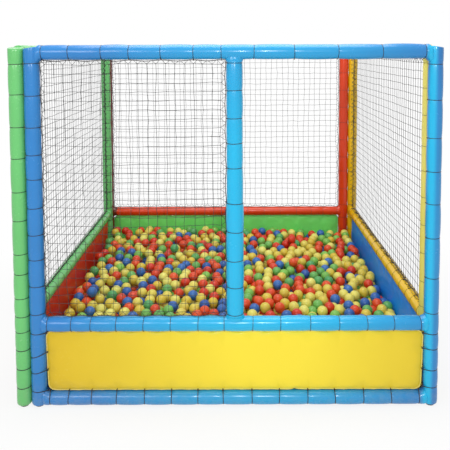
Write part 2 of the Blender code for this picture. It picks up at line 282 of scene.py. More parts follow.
def new_group(name, inputs, outputs):
    """An empty node group; returns its tree, its given inputs and its results."""
    tree = bpy.data.node_groups.new(name, "ShaderNodeTree")
    for label, value in inputs.items():
        kind = "NodeSocketColor" if isinstance(value, tuple) else "NodeSocketFloat"
        socket = tree.interface.new_socket(label, in_out="INPUT", socket_type=kind)
        socket.default_value = value
    for label, kind in outputs.items():
        tree.interface.new_socket(label, in_out="OUTPUT", socket_type="NodeSocket" + kind)
    begin, end = tree.nodes.new("NodeGroupInput"), tree.nodes.new("NodeGroupOutput")
    return tree, begin.outputs, end.inputs


def use_group(tree, group, **settings):
    """Place a group in a material and return its outputs."""
    node = tree.nodes.new("ShaderNodeGroup")
    node.node_tree = group
    for label, value in settings.items():
        put(node.inputs[label.replace("_", " ")], value)
    return node.outputs


def new_material(name):
    """A material, its tree and the inputs of its Principled shader."""
    made = bpy.data.materials.new(name)
    made.use_nodes = True
    return made, made.node_tree, made.node_tree.nodes["Principled BSDF"].inputs


# %% [markdown]
# ### Group: the colour of used plastic
#
# New vinyl has one flat colour. After a season of children it has soft patches, paler
# rubbed places and some dust near the floor. The group takes the new colour and gives the
# used one, and a mask of the rubbed places for the roughness.

# %% Group: used colour
used_colour, given, gives = new_group(
    "used_colour",
    {
        "Colour": (0.5, 0.5, 0.5, 1),
        "Rubbed Colour": (0.8, 0.8, 0.8, 1),
        "Dust Colour": (0.42, 0.38, 0.33, 1),
        "Patches": 0.10,
        "Rubbed": 0.15,
        "Dust": 0.30,
    },
    {"Colour": "Color", "Rubbed": "Float"},
)
tree = used_colour
place = object_place(tree)
patch = spread(tree, noise(tree, place, 2.6, 3.0), 0.35, 0.65, -0.5, 0.5)
value = add_node(tree, "Math", times(tree, patch, given["Patches"]), 1.0, operation="ADD")
colour = add_node(tree, "HueSaturation", Color=given["Colour"], Value=value)
streak = spread(tree, noise(tree, place, 55.0, 4.0, 0.65), 0.58, 0.72)
rubbed = times(tree, streak, spread(tree, noise(tree, place, 5.0), 0.45, 0.65))
colour = blend(tree, times(tree, rubbed, given["Rubbed"]), colour, given["Rubbed Colour"])
low_down = spread(tree, add_node(tree, "SeparateXYZ", place, out="Z"), 0.0, 0.16, 1.0, 0.0)
dusty = spread(tree, noise(tree, place, 30.0, 5.0, 0.7), 0.35, 0.75)
colour = blend(tree, times(tree, low_down, dusty, given["Dust"]), colour, given["Dust Colour"])
put(gives["Colour"], colour)
put(gives["Rubbed"], rubbed)
print("group", tree.name, "has", len(tree.nodes), "nodes")

# %% [markdown]
# ### Group: the surface of vinyl over foam
#
# Three heights are added: a very fine leather grain pressed into the vinyl, slow waves
# where the foam under it is uneven, and creases that run along the tube and fade away
# from each tie. The creases follow the piece's own UV map, whose first coordinate goes
# round the tube, and an attribute named pinch, which is 1 at a tie.

# %% Group: vinyl surface
vinyl_surface, given, gives = new_group(
    "vinyl_surface",
    {"Grain": 0.00002, "Waves": 0.0005, "Creases": 0.0008, "Creases Round": 26.0},
    {"Normal": "Vector"},
)
tree = vinyl_surface
place = object_place(tree)
grain = times(tree, noise(tree, place, 900.0), given["Grain"])
waves = times(tree, noise(tree, place, 14.0), given["Waves"])
unrolled = add_node(tree, "UVMap")
round_it = times(tree, add_node(tree, "SeparateXYZ", unrolled, out="X"), given["Creases Round"])
along_it = times(tree, add_node(tree, "SeparateXYZ", unrolled, out="Y"), 14.0)
folded = add_node(tree, "CombineXYZ", round_it, along_it)
crease = times(tree, noise(tree, folded, 1.0, 3.0, 0.6), stored(tree, "pinch"), given["Creases"])
total = add_node(tree, "Math", grain, waves, operation="ADD")
put(gives["Normal"], bump(tree, add_node(tree, "Math", total, crease, operation="ADD")))
print("group", tree.name, "has", len(tree.nodes), "nodes")

# %% [markdown]
# ## Vinyl
#
# Play vinyl is a glossy PVC skin. One function mixes every colour of it from the two
# groups. The gloss is a low roughness with a thin coat, and only the rubbed places are
# duller. Light and shade are painted into some regions of the pit, each a soft ball or
# column of another colour round a middle. An attribute named bound makes a panel's binding paler.

# %% Vinyl in every colour
def srgb(*channels):
    """A colour given as it is seen on screen, from 0 to 255, in the linear values of nodes."""
    shares = [channel / 255 for channel in channels]
    return (*(x / 12.92 if x <= 0.04045 else ((x + 0.055) / 1.055) ** 2.4 for x in shares), 1)


def vinyl(name, colour, rubbed, painted_lighting=(), roughness=0.24, waves=0.0005, creases=0.0008):
    """A vinyl; its fourth argument lists regions of painted light and shade: colour, middle,
    squeeze of each axis, inner and outer reach.
    """
    made, tree, shader = new_material(name)
    look = use_group(tree, used_colour, Colour=colour, Rubbed_Colour=rubbed)
    colour = look["Colour"]
    # Painted light and shade: each region blends another colour in softly round its middle.
    for painted_lighting_colour, middle, squeeze, inner, outer in painted_lighting:
        shift = [-share * at for share, at in zip(squeeze, middle)]
        laid = add_node(tree, "Mapping", object_place(tree), Location=shift, Scale=squeeze)
        gap = add_node(tree, "VectorMath", laid, operation="LENGTH", out="Value")
        colour = blend(tree, spread(tree, gap, inner, outer, 1.0, 0.0), colour, painted_lighting_colour)
    put(shader["Base Color"], blend(tree, stored(tree, "bound"), colour, rubbed))
    put(shader["Roughness"], spread(tree, look["Rubbed"], 0.0, 1.0, roughness, roughness + 0.2))
    surface = use_group(tree, vinyl_surface, Waves=waves, Creases=creases)
    put(shader["Normal"], surface["Normal"])
    put(shader["Coat Weight"], 0.15)
    put(shader["Coat Roughness"], 0.12)
    put(shader["Specular IOR Level"], 0.4)
    return made


# cyan is painted light on the blue vinyl, used by the two regions below
cyan = srgb(28, 186, 234)
sleeve_colours = {
    "front": (
        "blue_vinyl",
        srgb(44, 128, 198),
        srgb(150, 200, 235),
        (
            # painted pool of light: cyan round the middle of the front
            (cyan, (0.2, -1.14, 1.0), (1.3, 1, 1), 0.5, 1.55),
            # painted highlight: a cyan stripe down the left half of the front's right post
            (cyan, (1.113, -1.18, 0), (1, 1, 0), 0.014, 0.034),
        ),
    ),
    "right": (
        "yellow_vinyl",
        srgb(242, 196, 20),
        srgb(250, 225, 130),
        # painted light: a paler yellow column on the right frame's front post
        ((srgb(232, 218, 106), (1.142, -1.06, 0), (1, 1, 0), 0.05, 0.08),),
    ),
    "back": (
        "red_vinyl",
        srgb(226, 64, 18),
        srgb(240, 150, 120),
        # painted shade: a dark column at the back-left corner, where the red post is in shadow
        ((srgb(112, 44, 34), (-1.094, 1.122, 0), (1, 1, 0), 0.02, 0.036),),
    ),
    "left": ("green_vinyl", srgb(108, 198, 114), srgb(190, 225, 185)),
}
panel_colours = {
    "front": (
        "yellow_panel",
        srgb(218, 180, 18),
        srgb(250, 235, 150),
        # painted pool of light: the front panel is brighter round its middle
        ((srgb(255, 230, 54), (0.25, -1.14, 0.35), (1, 1, 1), 0.2, 1.35),),
    ),
    "right": ("blue_panel", srgb(20, 146, 255), srgb(120, 170, 225)),
    "back": ("green_panel", srgb(118, 230, 108), srgb(160, 220, 150)),
    "left": ("red_panel", srgb(214, 46, 18), srgb(230, 130, 100)),
}
sleeve_vinyl = {side: vinyl(*colours) for side, colours in sleeve_colours.items()}
panel_vinyl = {
    side: vinyl(*colours, roughness=0.50, waves=0.0008, creases=0.0)
    for side, colours in panel_colours.items()
}
print(len(sleeve_vinyl) + len(panel_vinyl), "vinyls")

# %% [markdown]
# ## Padded sleeves
#
# A sleeve is a foam tube with a vinyl skin, slipped over the steel and drawn in by cable
# ties. Each starts as a cylinder at the size of its solid. Three rings are cut at every
# tie and the middle one is drawn in, one ring between two ties is let out a little, and
# Subdivision Surface rounds the steps into soft swellings. A spun outline could do the
# same, but rings can be tilted one by one, as real ties are.

# %% Lengths of the sleeves, from the solids
tie_draw = 0.0042  # how far a tie draws the skin in, before smoothing
tie_reach = 0.009  # from a tie to where the skin has its full size again
swell = 1.012  # the middle between two ties, as a share of the sleeve's radius
uneven = 0.016  # how much more or less than that a swelling may have
astray = 0.0012  # how far a swelling's middle may lie off the axis
lumpy = {"front_top_beam": 2.0}  # times the usual unevenness
crease_reach = 0.022  # from a tie to where its creases fade
sleeve_sides = 24
plump = {  # foam that is thicker or thinner than the model's, as a share of its radius
    "front_first_post": 1.03,
    "front_second_post": 0.97,
    "front_centre_post": 1.14,
    "front_top_beam": 1.03,
    "front_mid_rail": 1.03,
}
faint_ties = {"right": 0.5, "back": 0.4}  # share of the usual draw, where ties hardly show
sides = ("front", "right", "back", "left")


def sleeve_axis(node):
    """Two ends, direction number and radius of a sleeve, from its solid's box."""
    low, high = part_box(node)
    size = high - low
    along = max(range(3), key=lambda axis: size[axis])
    middle = (low + high) / 2
    start, end = middle.copy(), middle.copy()
    start[along], end[along] = low[along], high[along]
    return start, end, along, sorted(size)[0] / 2


def unit(along):
    return Vector([1.0 if axis == along else 0.0 for axis in range(3)])


turns = {0: (0, level, 0), 1: (level, 0, 0), 2: (0, 0, 0)}  # a cylinder laid along each axis

# %% [markdown]
# The ties are where the picture shows them on the front and on the green post beside it.
# The other tubes have them at an even step with a little scatter, as a fitter spaces them
# by eye. All distances are real ones, along the tube.

# %% Where the ties are
seen_ties = {
    "front_first_post": (
        0.092, 0.202, 0.295, 0.424, 0.534, 0.69, 0.84, 0.98, 1.13, 1.29, 1.425, 1.575, 1.75,
        1.925,
    ),
    "front_second_post": (
        0.11, 0.21, 0.328, 0.415, 0.532, 0.73, 0.955, 1.145, 1.325, 1.51, 1.72, 1.915,
    ),
    "front_centre_post": (
        0.53, 0.683, 0.832, 0.994, 1.153, 1.349, 1.486, 1.622, 1.774, 1.925,
    ),
    "left_second_post": (
        0.112, 0.22, 0.329, 0.433, 0.52, 0.623, 0.76, 0.873, 1.06, 1.22, 1.406, 1.577, 1.755,
        1.921,
    ),
    "front_top_beam": (
        -0.996, -0.851, -0.674, -0.524, -0.352, -0.175, -0.025, 0.152, 0.372, 0.608, 0.847,
        1.08,
    ),
    "front_mid_rail": (
        -0.998, -0.867, -0.757, -0.616, -0.464, -0.314, -0.159, -0.016, 0.145, 0.30, 0.466,
        0.626, 0.781, 0.93, 1.078,
    ),
    "front_bottom_rail": (
        -0.991, -0.888, -0.759, -0.62, -0.464, -0.313, -0.163, -0.022, 0.139, 0.292, 0.451,
        0.604, 0.763, 0.92, 1.074,
    ),
}
# by tube and number of the tie: how far its normal leans along X, so that it rises to the right
slanted_ties = {("front_first_post", 1): -0.15, ("front_first_post", 2): -0.32}
slant = 0.035  # the most that any other tie is slanted
usual_step = 0.155  # between two ties
top_free = 0.08  # least distance from a post's top tie to the next
scatter = 0.012
end_gap = 0.019  # from a post's skin to the first tie on a rail
by_rails = (0.095, 0.21, 0.304, 0.413, 0.532, 1.92)  # post ties beside the rails and the panel
turned = {"front": 1, "right": 1, "back": -1, "left": -1}  # sign of a place along a rail


def tie_places(tube, start, end, along):
    """Distances along the tube's axis at which its ties lie."""
    side, part = tube.split("_", 1)
    if tube in seen_ties:
        return list(seen_ties[tube])
    if along == 2:
        free = np.arange(by_rails[-2] + usual_step, by_rails[-1] - top_free, usual_step)
        return sorted([*by_rails, *(at + chance.uniform(-scatter, scatter) for at in free)])
    if part in ("mid_rail", "bottom_rail"):
        return sorted(turned[side] * at for at in seen_ties[f"front_{part}"])
    count = round((end[along] - start[along]) / usual_step)
    step = (end[along] - start[along] - 2 * end_gap) / count
    places = [start[along] + end_gap + step * index for index in range(count + 1)]
    inner = [at + chance.uniform(-scatter, scatter) for at in places[1:-1]]
    return [places[0], *inner, places[-1]]


# %% [markdown]
# The sleeves are cut with bisect, which leaves the new ring selected, so the next operator
# can scale just that ring about its own middle.

# %% Padding one tube
def cut_ring(middle, direction):
    """Cut one ring of edges round the tube, which stays selected."""
    bpy.ops.mesh.select_all(action="SELECT")
    bpy.ops.mesh.bisect(plane_co=middle, plane_no=direction)


def scale_ring(middle, along, share, across=None):
    """Scale the selected ring in its own plane, or in one direction of it only."""
    size = [share if across in (None, axis) else 1.0 for axis in range(3)]
    size[along] = 1.0
    bpy.ops.transform.resize(value=size, center_override=middle)


def mark_pinch(piece, along, places):
    """Store on each vertex how near a tie it is, which the creases of the vinyl follow."""
    points = np.empty(len(piece.data.vertices) * 3)
    piece.data.vertices.foreach_get("co", points)
    heights = points.reshape(-1, 3)[:, along]
    gap = np.abs(heights[:, None] - np.array(places)[None, :]).min(axis=1)
    store(piece, pinch=np.exp(-((gap / crease_reach) ** 2)))


tie_normals = {}


def padded_tube(tube, start, end, along, radius, places):
    """A sleeve from start to end, drawn in at its ties and swelling unevenly between them."""
    middle = (start + end) / 2
    draw = tie_draw * faint_ties.get(tube.split("_")[0], 1.0)
    bpy.ops.mesh.primitive_cylinder_add(
        vertices=sleeve_sides,
        radius=radius,
        depth=(end - start).length,
        location=middle,
        rotation=turns[along],
    )
    piece = named(f"{tube}_padding")
    edit_mode()
    at = middle.copy()
    for index, tie in enumerate(places):
        at[along] = tie
        normal = Vector(chance.uniform(-slant, slant, 3))
        normal += unit(0) * slanted_ties.get((tube, index), 0)
        normal[along] = 1
        tie_normals[tube, index] = normal.normalized()
        for shift in (-tie_reach, tie_reach):
            cut_ring(at + shift * unit(along), normal)
        cut_ring(at, normal)
        scale_ring(at, along, (radius - draw) / radius)
    for before, after in zip(places, places[1:]):
        if after - before > 4 * tie_reach:
            at[along] = (before + after) / 2
            cut_ring(at, unit(along))
            lumps = lumpy.get(tube, 1.0)
            scale_ring(at, along, swell + lumps * chance.uniform(-uneven, uneven))
            stray = lumps * chance.uniform(-astray, astray, 3)
            stray[along] = 0
            bpy.ops.transform.translate(value=stray)
    edit_mode(False)
    return piece


# %% [markdown]
# ### Post sleeves
#
# A post's sleeve is closed at the top and open at the bottom, where the steel and its
# rubber foot show. The top cap is inset, so that smoothing leaves it a soft rim, and it
# leans a little, because the skin is pulled over the corner towards the beam. At the foot
# the skin ends just above the floor and turns in round the steel: its lower edge is
# bevelled, its end is inset to the bore, and the bore is pushed up.

# %% Post sleeves
cap_lean = math.radians(9)
cap_rim = 0.006
foot_gap = 0.009  # from the floor to the skin's lower end
foot_round = 0.013
bore = 0.0246  # radius of the hole in the foam at the foot
bore_depth = 0.05
post_line = {}
made_sleeves = {}
for side in sides:
    for post, leans in (("first_post", 1), ("second_post", -1)):
        tube = f"{side}_{post}"
        start, end, along, radius = sleeve_axis(f"{tube}_sleeve")
        start.z += foot_gap
        post_line[tube] = start
        radius *= plump.get(tube, 1.0)
        places = tie_places(tube, start, end, along)
        piece = padded_tube(tube, start, end, along, radius, places)
        edit_mode()
        cut_ring(Vector((start.x, start.y, end.z - cap_rim)), unit(along))
        select_parts(piece, "polygons", lambda face: face.center.z > end.z - cap_rim / 4)
        bpy.ops.mesh.inset(thickness=cap_rim)
        select_parts(piece, "vertices", lambda vertex: vertex.co.z > end.z - cap_rim / 4)
        beam_way = Vector(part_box(f"{side}_second_post_sleeve")[0]) - Vector(
            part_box(f"{side}_first_post_sleeve")[0]
        )
        hinge = Vector((0, 0, 1)).cross(beam_way.normalized())
        lean = Matrix.Rotation(-leans * cap_lean, 4, hinge)
        edit_mode(False)
        for vertex in piece.data.vertices:
            if vertex.select:
                vertex.co = end + lean @ (vertex.co - end)
        edit_mode()
        foot_top = start.z + cap_rim / 4
        foot = {vertex.index for vertex in piece.data.vertices if vertex.co.z < foot_top}
        select_parts(piece, "edges", lambda edge: set(edge.vertices) <= foot)
        bpy.ops.mesh.bevel(offset=foot_round, segments=3, affect="EDGES")
        select_parts(piece, "polygons", lambda face: len(face.vertices) > 4 and face.center.z < 0.1)
        bpy.ops.mesh.inset(thickness=radius - foot_round - bore)
        bpy.ops.mesh.extrude_region_move(TRANSFORM_OT_translate={"value": (0, 0, bore_depth)})
        edit_mode(False)
        round_steps(piece)
        bpy.ops.object.shade_smooth()
        mark_pinch(piece, along, places)
        made_sleeves[tube] = (piece, along, places, radius)
print(len(made_sleeves), "post sleeves,", triangles(piece), "triangles each")

# %% [markdown]
# ### Rail sleeves
#
# A rail's skin is wrapped onto the post it meets, so its last few centimetres grow taller
# towards the post. Two more rings make that spread. The end is then cut to the post's round
# with a Boolean, because a cope of two crossing tubes is hard to model by hand. The top
# beam spreads only downward and the bottom rail only upward, as it lies on the floor.

# %% Cutting a sleeve to a round
post_skin = 0.0423  # radius of the post's skin where a rail meets it
wrap_rings = ((0.047, 1.06), (0.038, 1.20))  # from the post's axis, and the height there
end_share, floor_end_share = 1.35, 1.15  # height of the very end, and of one on the floor
wrap_hinge = {"top_beam": 1.0, "mid_rail": 0.0, "bottom_rail": -1.0}  # 1 keeps the top level


def cut_round(piece, middle, along, radius, length):
    """Cut a round channel through a piece, and take the cutter away."""
    deselect()
    bpy.ops.mesh.primitive_cylinder_add(
        vertices=2 * sleeve_sides,
        radius=radius,
        depth=length,
        location=middle,
        rotation=turns[along],
    )
    cutter = bpy.context.object
    apply_modifier(piece, "BOOLEAN", operation="DIFFERENCE", solver="EXACT", object=cutter)
    bpy.data.objects.remove(cutter, do_unlink=True)
    take(piece)


def keep_sleeve(tube, piece, along, places, radius):
    """Shade a sleeve that was cut, mark its pinched places, and keep it."""
    bpy.ops.object.shade_smooth_by_angle(angle=math.radians(50))
    mark_pinch(piece, along, places)
    made_sleeves[tube] = (piece, along, places, radius)


# %% Rail sleeves
for side in sides:
    posts = [post_line[f"{side}_first_post"], post_line[f"{side}_second_post"]]
    for rail, hinge_share in wrap_hinge.items():
        tube = f"{side}_{rail}"
        start, end, along, radius = sleeve_axis(f"{tube}_sleeve")
        low_post, high_post = sorted(post[along] for post in posts)
        skin_start, skin_end = start.copy(), end.copy()
        skin_start[along], skin_end[along] = low_post + post_skin, high_post - post_skin
        places = tie_places(tube, skin_start, skin_end, along)
        radius *= plump.get(tube, 1.0)
        piece = padded_tube(tube, start, end, along, radius, places)
        edit_mode()
        at = start.copy()
        hinge = start + Vector((0, 0, hinge_share * radius))
        for post, way in ((low_post, 1), (high_post, -1)):
            for reach, share in wrap_rings:
                at[along] = post + way * reach
                cut_ring(at, unit(along))
                if hinge_share < 0:
                    share = 1 + (share - 1) / 2
                scale_ring(Vector((at.x, at.y, hinge.z)), along, share, 2)
            edge = min(abs(start[along] - post), abs(end[along] - post))
            select_parts(
                piece, "vertices", lambda vertex: abs(vertex.co[along] - post) < edge + 0.001
            )
            share = floor_end_share if hinge_share < 0 else end_share
            scale_ring(Vector((at.x, at.y, hinge.z)), along, share, 2)
        edit_mode(False)
        round_steps(piece)
        for post, part in zip(posts, ("first_post", "second_post")):
            middle = Vector((post.x, post.y, start.z))
            share = min(1.0, plump.get(f"{side}_{part}", 1.0))
            cut_round(piece, middle, 2, post_skin * share, 4 * radius)
        keep_sleeve(tube, piece, along, places, radius)
print(len(made_sleeves), "sleeves,", triangles(piece), "triangles in a rail's")

# %% [markdown]
# ### The centre post's sleeve
#
# Only the front has a centre post, from the mid rail up to the top beam. Its skin is
# wrapped onto both, so its ends spread sideways, are drawn in from front to back to the
# rails' own thickness, and are cut to the round of the rails. It is the fattest sleeve of
# all, fatter still below one of its ties, and a little to the right of its steel, where the
# foam has shifted.

# %% Centre post sleeve
rail_skin = 0.0398
fat_below = 1.153  # height of that tie
fatter = 1.08
foam_shift = Vector((0.0044, 0, 0))
end_zone = 0.012  # round a rail's axis, where the skin's end lies
end_spread, end_pull = 1.15, 0.95  # of the end, sideways and from front to back
tube = "front_centre_post"
start, end, along, radius = sleeve_axis(f"{tube}_sleeve")
start, end = start + foam_shift, end + foam_shift
radius *= plump[tube]
places = tie_places(tube, start, end, along)
piece = padded_tube(tube, start, end, along, radius, places)
rail_heights = [sleeve_axis(f"front_{rail}_sleeve")[0].z for rail in ("mid_rail", "top_beam")]
edit_mode()
for height, way in zip(rail_heights, (1, -1)):
    pull = rail_skin / radius / (fatter if way > 0 else 1)
    for reach, share in wrap_rings:
        spot = Vector((start.x, start.y, height + way * reach))
        cut_ring(spot, unit(2))
        scale_ring(spot, 2, 1 + (share - 1) / 2, 0)
        scale_ring(spot, 2, pull, 1)
    select_parts(piece, "vertices", lambda vertex: abs(vertex.co.z - height) < end_zone)
    scale_ring(start, 2, end_spread, 0)
    scale_ring(start, 2, end_pull * pull, 1)
select_parts(piece, "vertices", lambda vertex: vertex.co.z < fat_below + tie_reach / 2)
scale_ring(start, 2, fatter)
edit_mode(False)
round_steps(piece)
for height in rail_heights:
    cut_round(piece, Vector((start.x, start.y, height)), 0, rail_skin, 4 * radius)
keep_sleeve(tube, piece, along, places, radius)
print(piece.name, triangles(piece), "triangles")

# %% Dress the sleeves
for tube, (piece, *_) in made_sleeves.items():
    side = tube.split("_")[0]
    dress(piece, sleeve_vinyl[side], sleeve_colours[side][0], f"{tube}_sleeve")
print(len(made_sleeves), "sleeves declared as padded")

# %% [markdown]
# ## Cable ties
#
# A cable tie is a flat nylon band with a square head. One is modelled round the Z axis and
# copied to every tie's place. A tie that also holds the net or a panel reaches out to it on
# that side, so the copy is drawn out there. Each lies in its own groove: it is turned to
# the groove's slant, and stretched so that it stays on the skin.

# %% Black cord and nylon
black_nylon, tree, shader = new_material("black_nylon")
worn = spread(tree, noise(tree, object_place(tree), 160.0, 3.0), 0.4, 0.7)
shades = (0.010, 0.010, 0.012, 1), (0.030, 0.030, 0.033, 1)
put(shader["Base Color"], blend(tree, worn, *shades))
put(shader["Roughness"], spread(tree, worn, 0.0, 1.0, 0.35, 0.6))
print("material", black_nylon.name, "has", len(tree.nodes), "nodes")

# %% One tie
band_width = 0.0032
band_thickness = 0.0013
tie_sides = 16
deselect()
bpy.ops.mesh.primitive_cylinder_add(
    vertices=tie_sides, radius=1.0, depth=band_width, end_fill_type="NOTHING"
)
band = named("tie_band")
head_size = Vector((0.0045, 0.0060, 0.0055))
print("a tie band of", len(band.data.polygons), "faces before its thickness")


def one_tie(name, radius, way, draw, turn, bulk):
    """A tie round the Z axis, drawn out by draw towards way, with its head at turn."""
    tie = copy_piece(band, name, Matrix.Diagonal((radius, radius, bulk, 1)))
    for vertex in tie.data.vertices:
        flat = Vector((vertex.co.x, vertex.co.y, 0)).normalized()
        vertex.co += way * draw * max(0.0, flat.dot(way)) ** 3
    apply_modifier(tie, "SOLIDIFY", thickness=band_thickness, offset=0.0)
    deselect()
    out = Vector((math.cos(turn), math.sin(turn), 0))
    reach = radius + head_size.x / 2 + draw * max(0.0, out.dot(way)) ** 3
    bpy.ops.mesh.primitive_cube_add(size=1, location=out * reach, rotation=(0, 0, turn))
    head = bpy.context.object
    head.scale = head_size * bulk
    head = named("tie_head")
    apply_modifier(head, "BEVEL", width=0.0008, segments=1)
    return join(name, [tie, head])


# %% [markdown]
# Which way a tie reaches depends on what lies beside the tube there: a panel between the
# bottom rail and the mid rail, a net above it, or nothing in the open half of the front.

# %% Every tie
panel_draw = 0.016
net_draw = 0.004
panel_bulk = 1.3  # a tie that holds a panel is this much bulkier
panel_low, panel_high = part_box("front_panel")
frame_way = {"front": Vector((1, 0, 0)), "right": Vector((0, 1, 0)),
             "back": Vector((-1, 0, 0)), "left": Vector((0, -1, 0))}
out_way = {"front": Vector((0, -1, 0)), "right": Vector((1, 0, 0)),
           "back": Vector((0, 1, 0)), "left": Vector((-1, 0, 0))}
up = Vector((0, 0, 1))
lay_along = {
    0: Matrix.Rotation(level, 4, "Y"),
    1: Matrix.Rotation(-level, 4, "X"),
    2: Matrix.Identity(4),
}
groove_share = 0.75  # of a tie's draw, which the rounding leaves
rounded_share = 0.9915  # of a sleeve's radius, which the rounding leaves
tie_gap = 0.0005  # from the skin to the band


def tie_hold(tube, place):
    """The way in which a tie reaches, and how far."""
    side, part = tube.split("_", 1)
    onward = frame_way[side]
    if part == "top_beam":
        return -up, (0.0 if side == "front" and place > front_net_end else net_draw)
    if part == "bottom_rail":
        return up, panel_draw
    if part == "mid_rail":
        return -up, net_draw
    if part == "centre_post":
        return -onward, net_draw
    onward = onward if part == "first_post" else -onward
    if place < panel_high.z:
        return onward, panel_draw
    if tube == "front_second_post":
        return onward, 0.0
    return onward, net_draw


front_net_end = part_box("front_net")[1].x
for side in sides:
    ties = []
    for tube, (_, along, places, radius) in made_sleeves.items():
        if not tube.startswith(side):
            continue
        start = sleeve_axis(f"{tube}_sleeve")[0]
        if tube == "front_centre_post":
            start += foam_shift
        to_axis = lay_along[along]
        drawn_in = groove_share * tie_draw * faint_ties.get(side, 1.0)
        for index, place in enumerate(places):
            skin = (radius - drawn_in) * rounded_share + band_thickness / 2 + tie_gap
            if tube == "front_centre_post" and place < fat_below + tie_reach:
                skin *= fatter
            way, draw = tie_hold(tube, place)
            local = to_axis.inverted().to_3x3() @ way
            front = to_axis.inverted().to_3x3() @ out_way[side]
            if draw == panel_draw:
                outward = 0.35
            elif tube.endswith("mid_rail"):
                outward = -0.5
            else:
                outward = chance.uniform(-0.9, 0.2)
            head_way = local + front * outward
            turn = math.atan2(head_way.y, head_way.x)
            bulk = faint_ties.get(side, 1.0) * (panel_bulk if draw == panel_draw else 1.0)
            tie = one_tie(f"{tube}_tie_{index}", skin, local, draw, turn, bulk)
            normal = tie_normals[tube, index]
            slope = unit(along).rotation_difference(normal).to_matrix().to_4x4()
            stretch = Matrix.Scale(1 / normal[along], 4, normal - normal[along] * unit(along))
            spot = start.copy()
            spot[along] = place
            tie.data.transform(Matrix.Translation(spot) @ stretch @ slope @ to_axis)
            ties.append(tie)
    piece = join(f"{side}_ties", ties)
    bpy.ops.object.shade_smooth_by_angle(angle=math.radians(40))
    dress(piece, black_nylon, "net_cord")
    print(piece.name, len(ties), "ties,", triangles(piece), "triangles")
bpy.data.objects.remove(band, do_unlink=True)

# %% [markdown]
# ## Panels
#
# A panel is a vinyl bag round a sheet of foam, pulled tight by the ties in its rim. Cloth
# simulation makes that form: a flat closed bag is pinned at the ties and filled with
# pressure, so that it swells in the middle and pulls into creases between the pins. One
# panel is simulated and copied to all four sides. Its corners are rounded before that, and
# its sides lean in low down, where the ties draw them.

# %% The bag of a panel
panel_size = panel_high - panel_low
panel_middle = (panel_low + panel_high) / 2
bag_columns, bag_rows = 112, 20
bag_margin, bag_lift = 0.004, 0.0025  # from the sleeves, and nearer to the mid rail by the lift
bag_edge = 0.010  # thickness at the rim
corner_round = 0.030
side_lean = 0.010  # how far the ties of the bottom rail draw the sides in, low down
deselect()
bpy.ops.mesh.primitive_grid_add(
    x_subdivisions=bag_columns,
    y_subdivisions=bag_rows,
    size=1.0,
    location=panel_middle + Vector((0, bag_edge / 2, bag_lift)),
    rotation=(level, 0, 0),
)
bag = bpy.context.object
bag.scale = (panel_size.x - 2 * bag_margin, panel_size.z - 2 * bag_margin, 1)
bag = named("front_panel_bag")
edit_mode()
bpy.ops.mesh.select_all(action="SELECT")
bpy.ops.mesh.extrude_region_move(TRANSFORM_OT_translate={"value": (0, -bag_edge, 0)})
bpy.ops.mesh.select_all(action="SELECT")
bpy.ops.mesh.normals_make_consistent(inside=False)
edit_mode(False)
rim = bag.vertex_groups.new(name="rim")
for vertex in bag.data.vertices:
    aside = abs(vertex.co.x - panel_middle.x)
    below = panel_middle.z + bag_lift - vertex.co.z
    across = aside - panel_size.x / 2 + bag_margin
    high = abs(below) - panel_size.z / 2 + bag_margin
    if vertex.co.y < panel_middle.y and max(across, high) > -0.001:
        rim.add([vertex.index], 1.0, "REPLACE")
    corner = Vector((max(0, across + corner_round), 0, max(0, high + corner_round)))
    if min(corner.x, corner.z) > 0:
        shorter = corner * (1 - max(corner) / corner.length)
        vertex.co.x -= math.copysign(shorter.x, vertex.co.x - panel_middle.x)
        vertex.co.z += math.copysign(shorter.z, below)
    lean_in = side_lean * (below / panel_size.z + 0.5) ** 2 * aside / (panel_size.x / 2)
    vertex.co.x -= math.copysign(lean_in, vertex.co.x - panel_middle.x)
print("panel bag of", len(bag.data.polygons), "faces,", [round(v, 3) for v in bag.dimensions])

# %% Where the panel is held
hold_radius = 0.012
inset = 0.011  # from the panel's edge to a tie through it
rim_grip = 0.5  # the binding is stiff, so it gives way less between two ties
holds = []
for rail, height in (("mid_rail", panel_high.z - inset), ("bottom_rail", panel_low.z + inset)):
    holds += [Vector((x, panel_middle.y, height)) for x in made_sleeves[f"front_{rail}"][2]]
for post, x in (("first_post", panel_low.x + inset), ("second_post", panel_high.x - inset)):
    for height in made_sleeves[f"front_{post}"][2]:
        if panel_low.z < height < panel_high.z:
            holds.append(Vector((x, panel_middle.y, height)))
pins = kdtree.KDTree(len(holds))
for index, hold in enumerate(holds):
    pins.insert(hold, index)
pins.balance()
held = bag.vertex_groups.new(name="held")
for vertex in bag.data.vertices:
    gap = pins.find(vertex.co)[2]
    on_rim = any(entry.group == rim.index for entry in vertex.groups)
    grip = max(rim_grip if on_rim else 0.0, min(1.0, 2 - gap / hold_radius))
    if grip > 0:
        held.add([vertex.index], grip, "REPLACE")
print(len(holds), "ties hold a panel")

# %% Fill the bag
most_swell = 0.012
cloth_frames = 20
take(bag)
flat_bag = [vertex.co.copy() for vertex in bag.data.vertices]
cloth = bag.modifiers.new("cloth", "CLOTH")
cloth.settings.vertex_group_mass = "held"
cloth.settings.use_pressure = True
cloth.settings.uniform_pressure_force = 4.0
cloth.settings.tension_stiffness = 15
cloth.settings.compression_stiffness = 15
cloth.settings.bending_stiffness = 0.4
cloth.settings.shrink_min = -0.012
cloth.settings.effector_weights.gravity = 0.0
cloth.collision_settings.use_collision = False
cloth.point_cache.frame_start = 1
cloth.point_cache.frame_end = cloth_frames
for step in range(1, cloth_frames + 1):
    bpy.context.scene.frame_set(step)
bpy.ops.object.modifier_apply(modifier=cloth.name)
bpy.context.scene.frame_set(1)
for vertex, flat in zip(bag.data.vertices, flat_bag):
    moved = vertex.co - flat
    if moved.length > most_swell:
        vertex.co = flat + moved * (most_swell / moved.length)
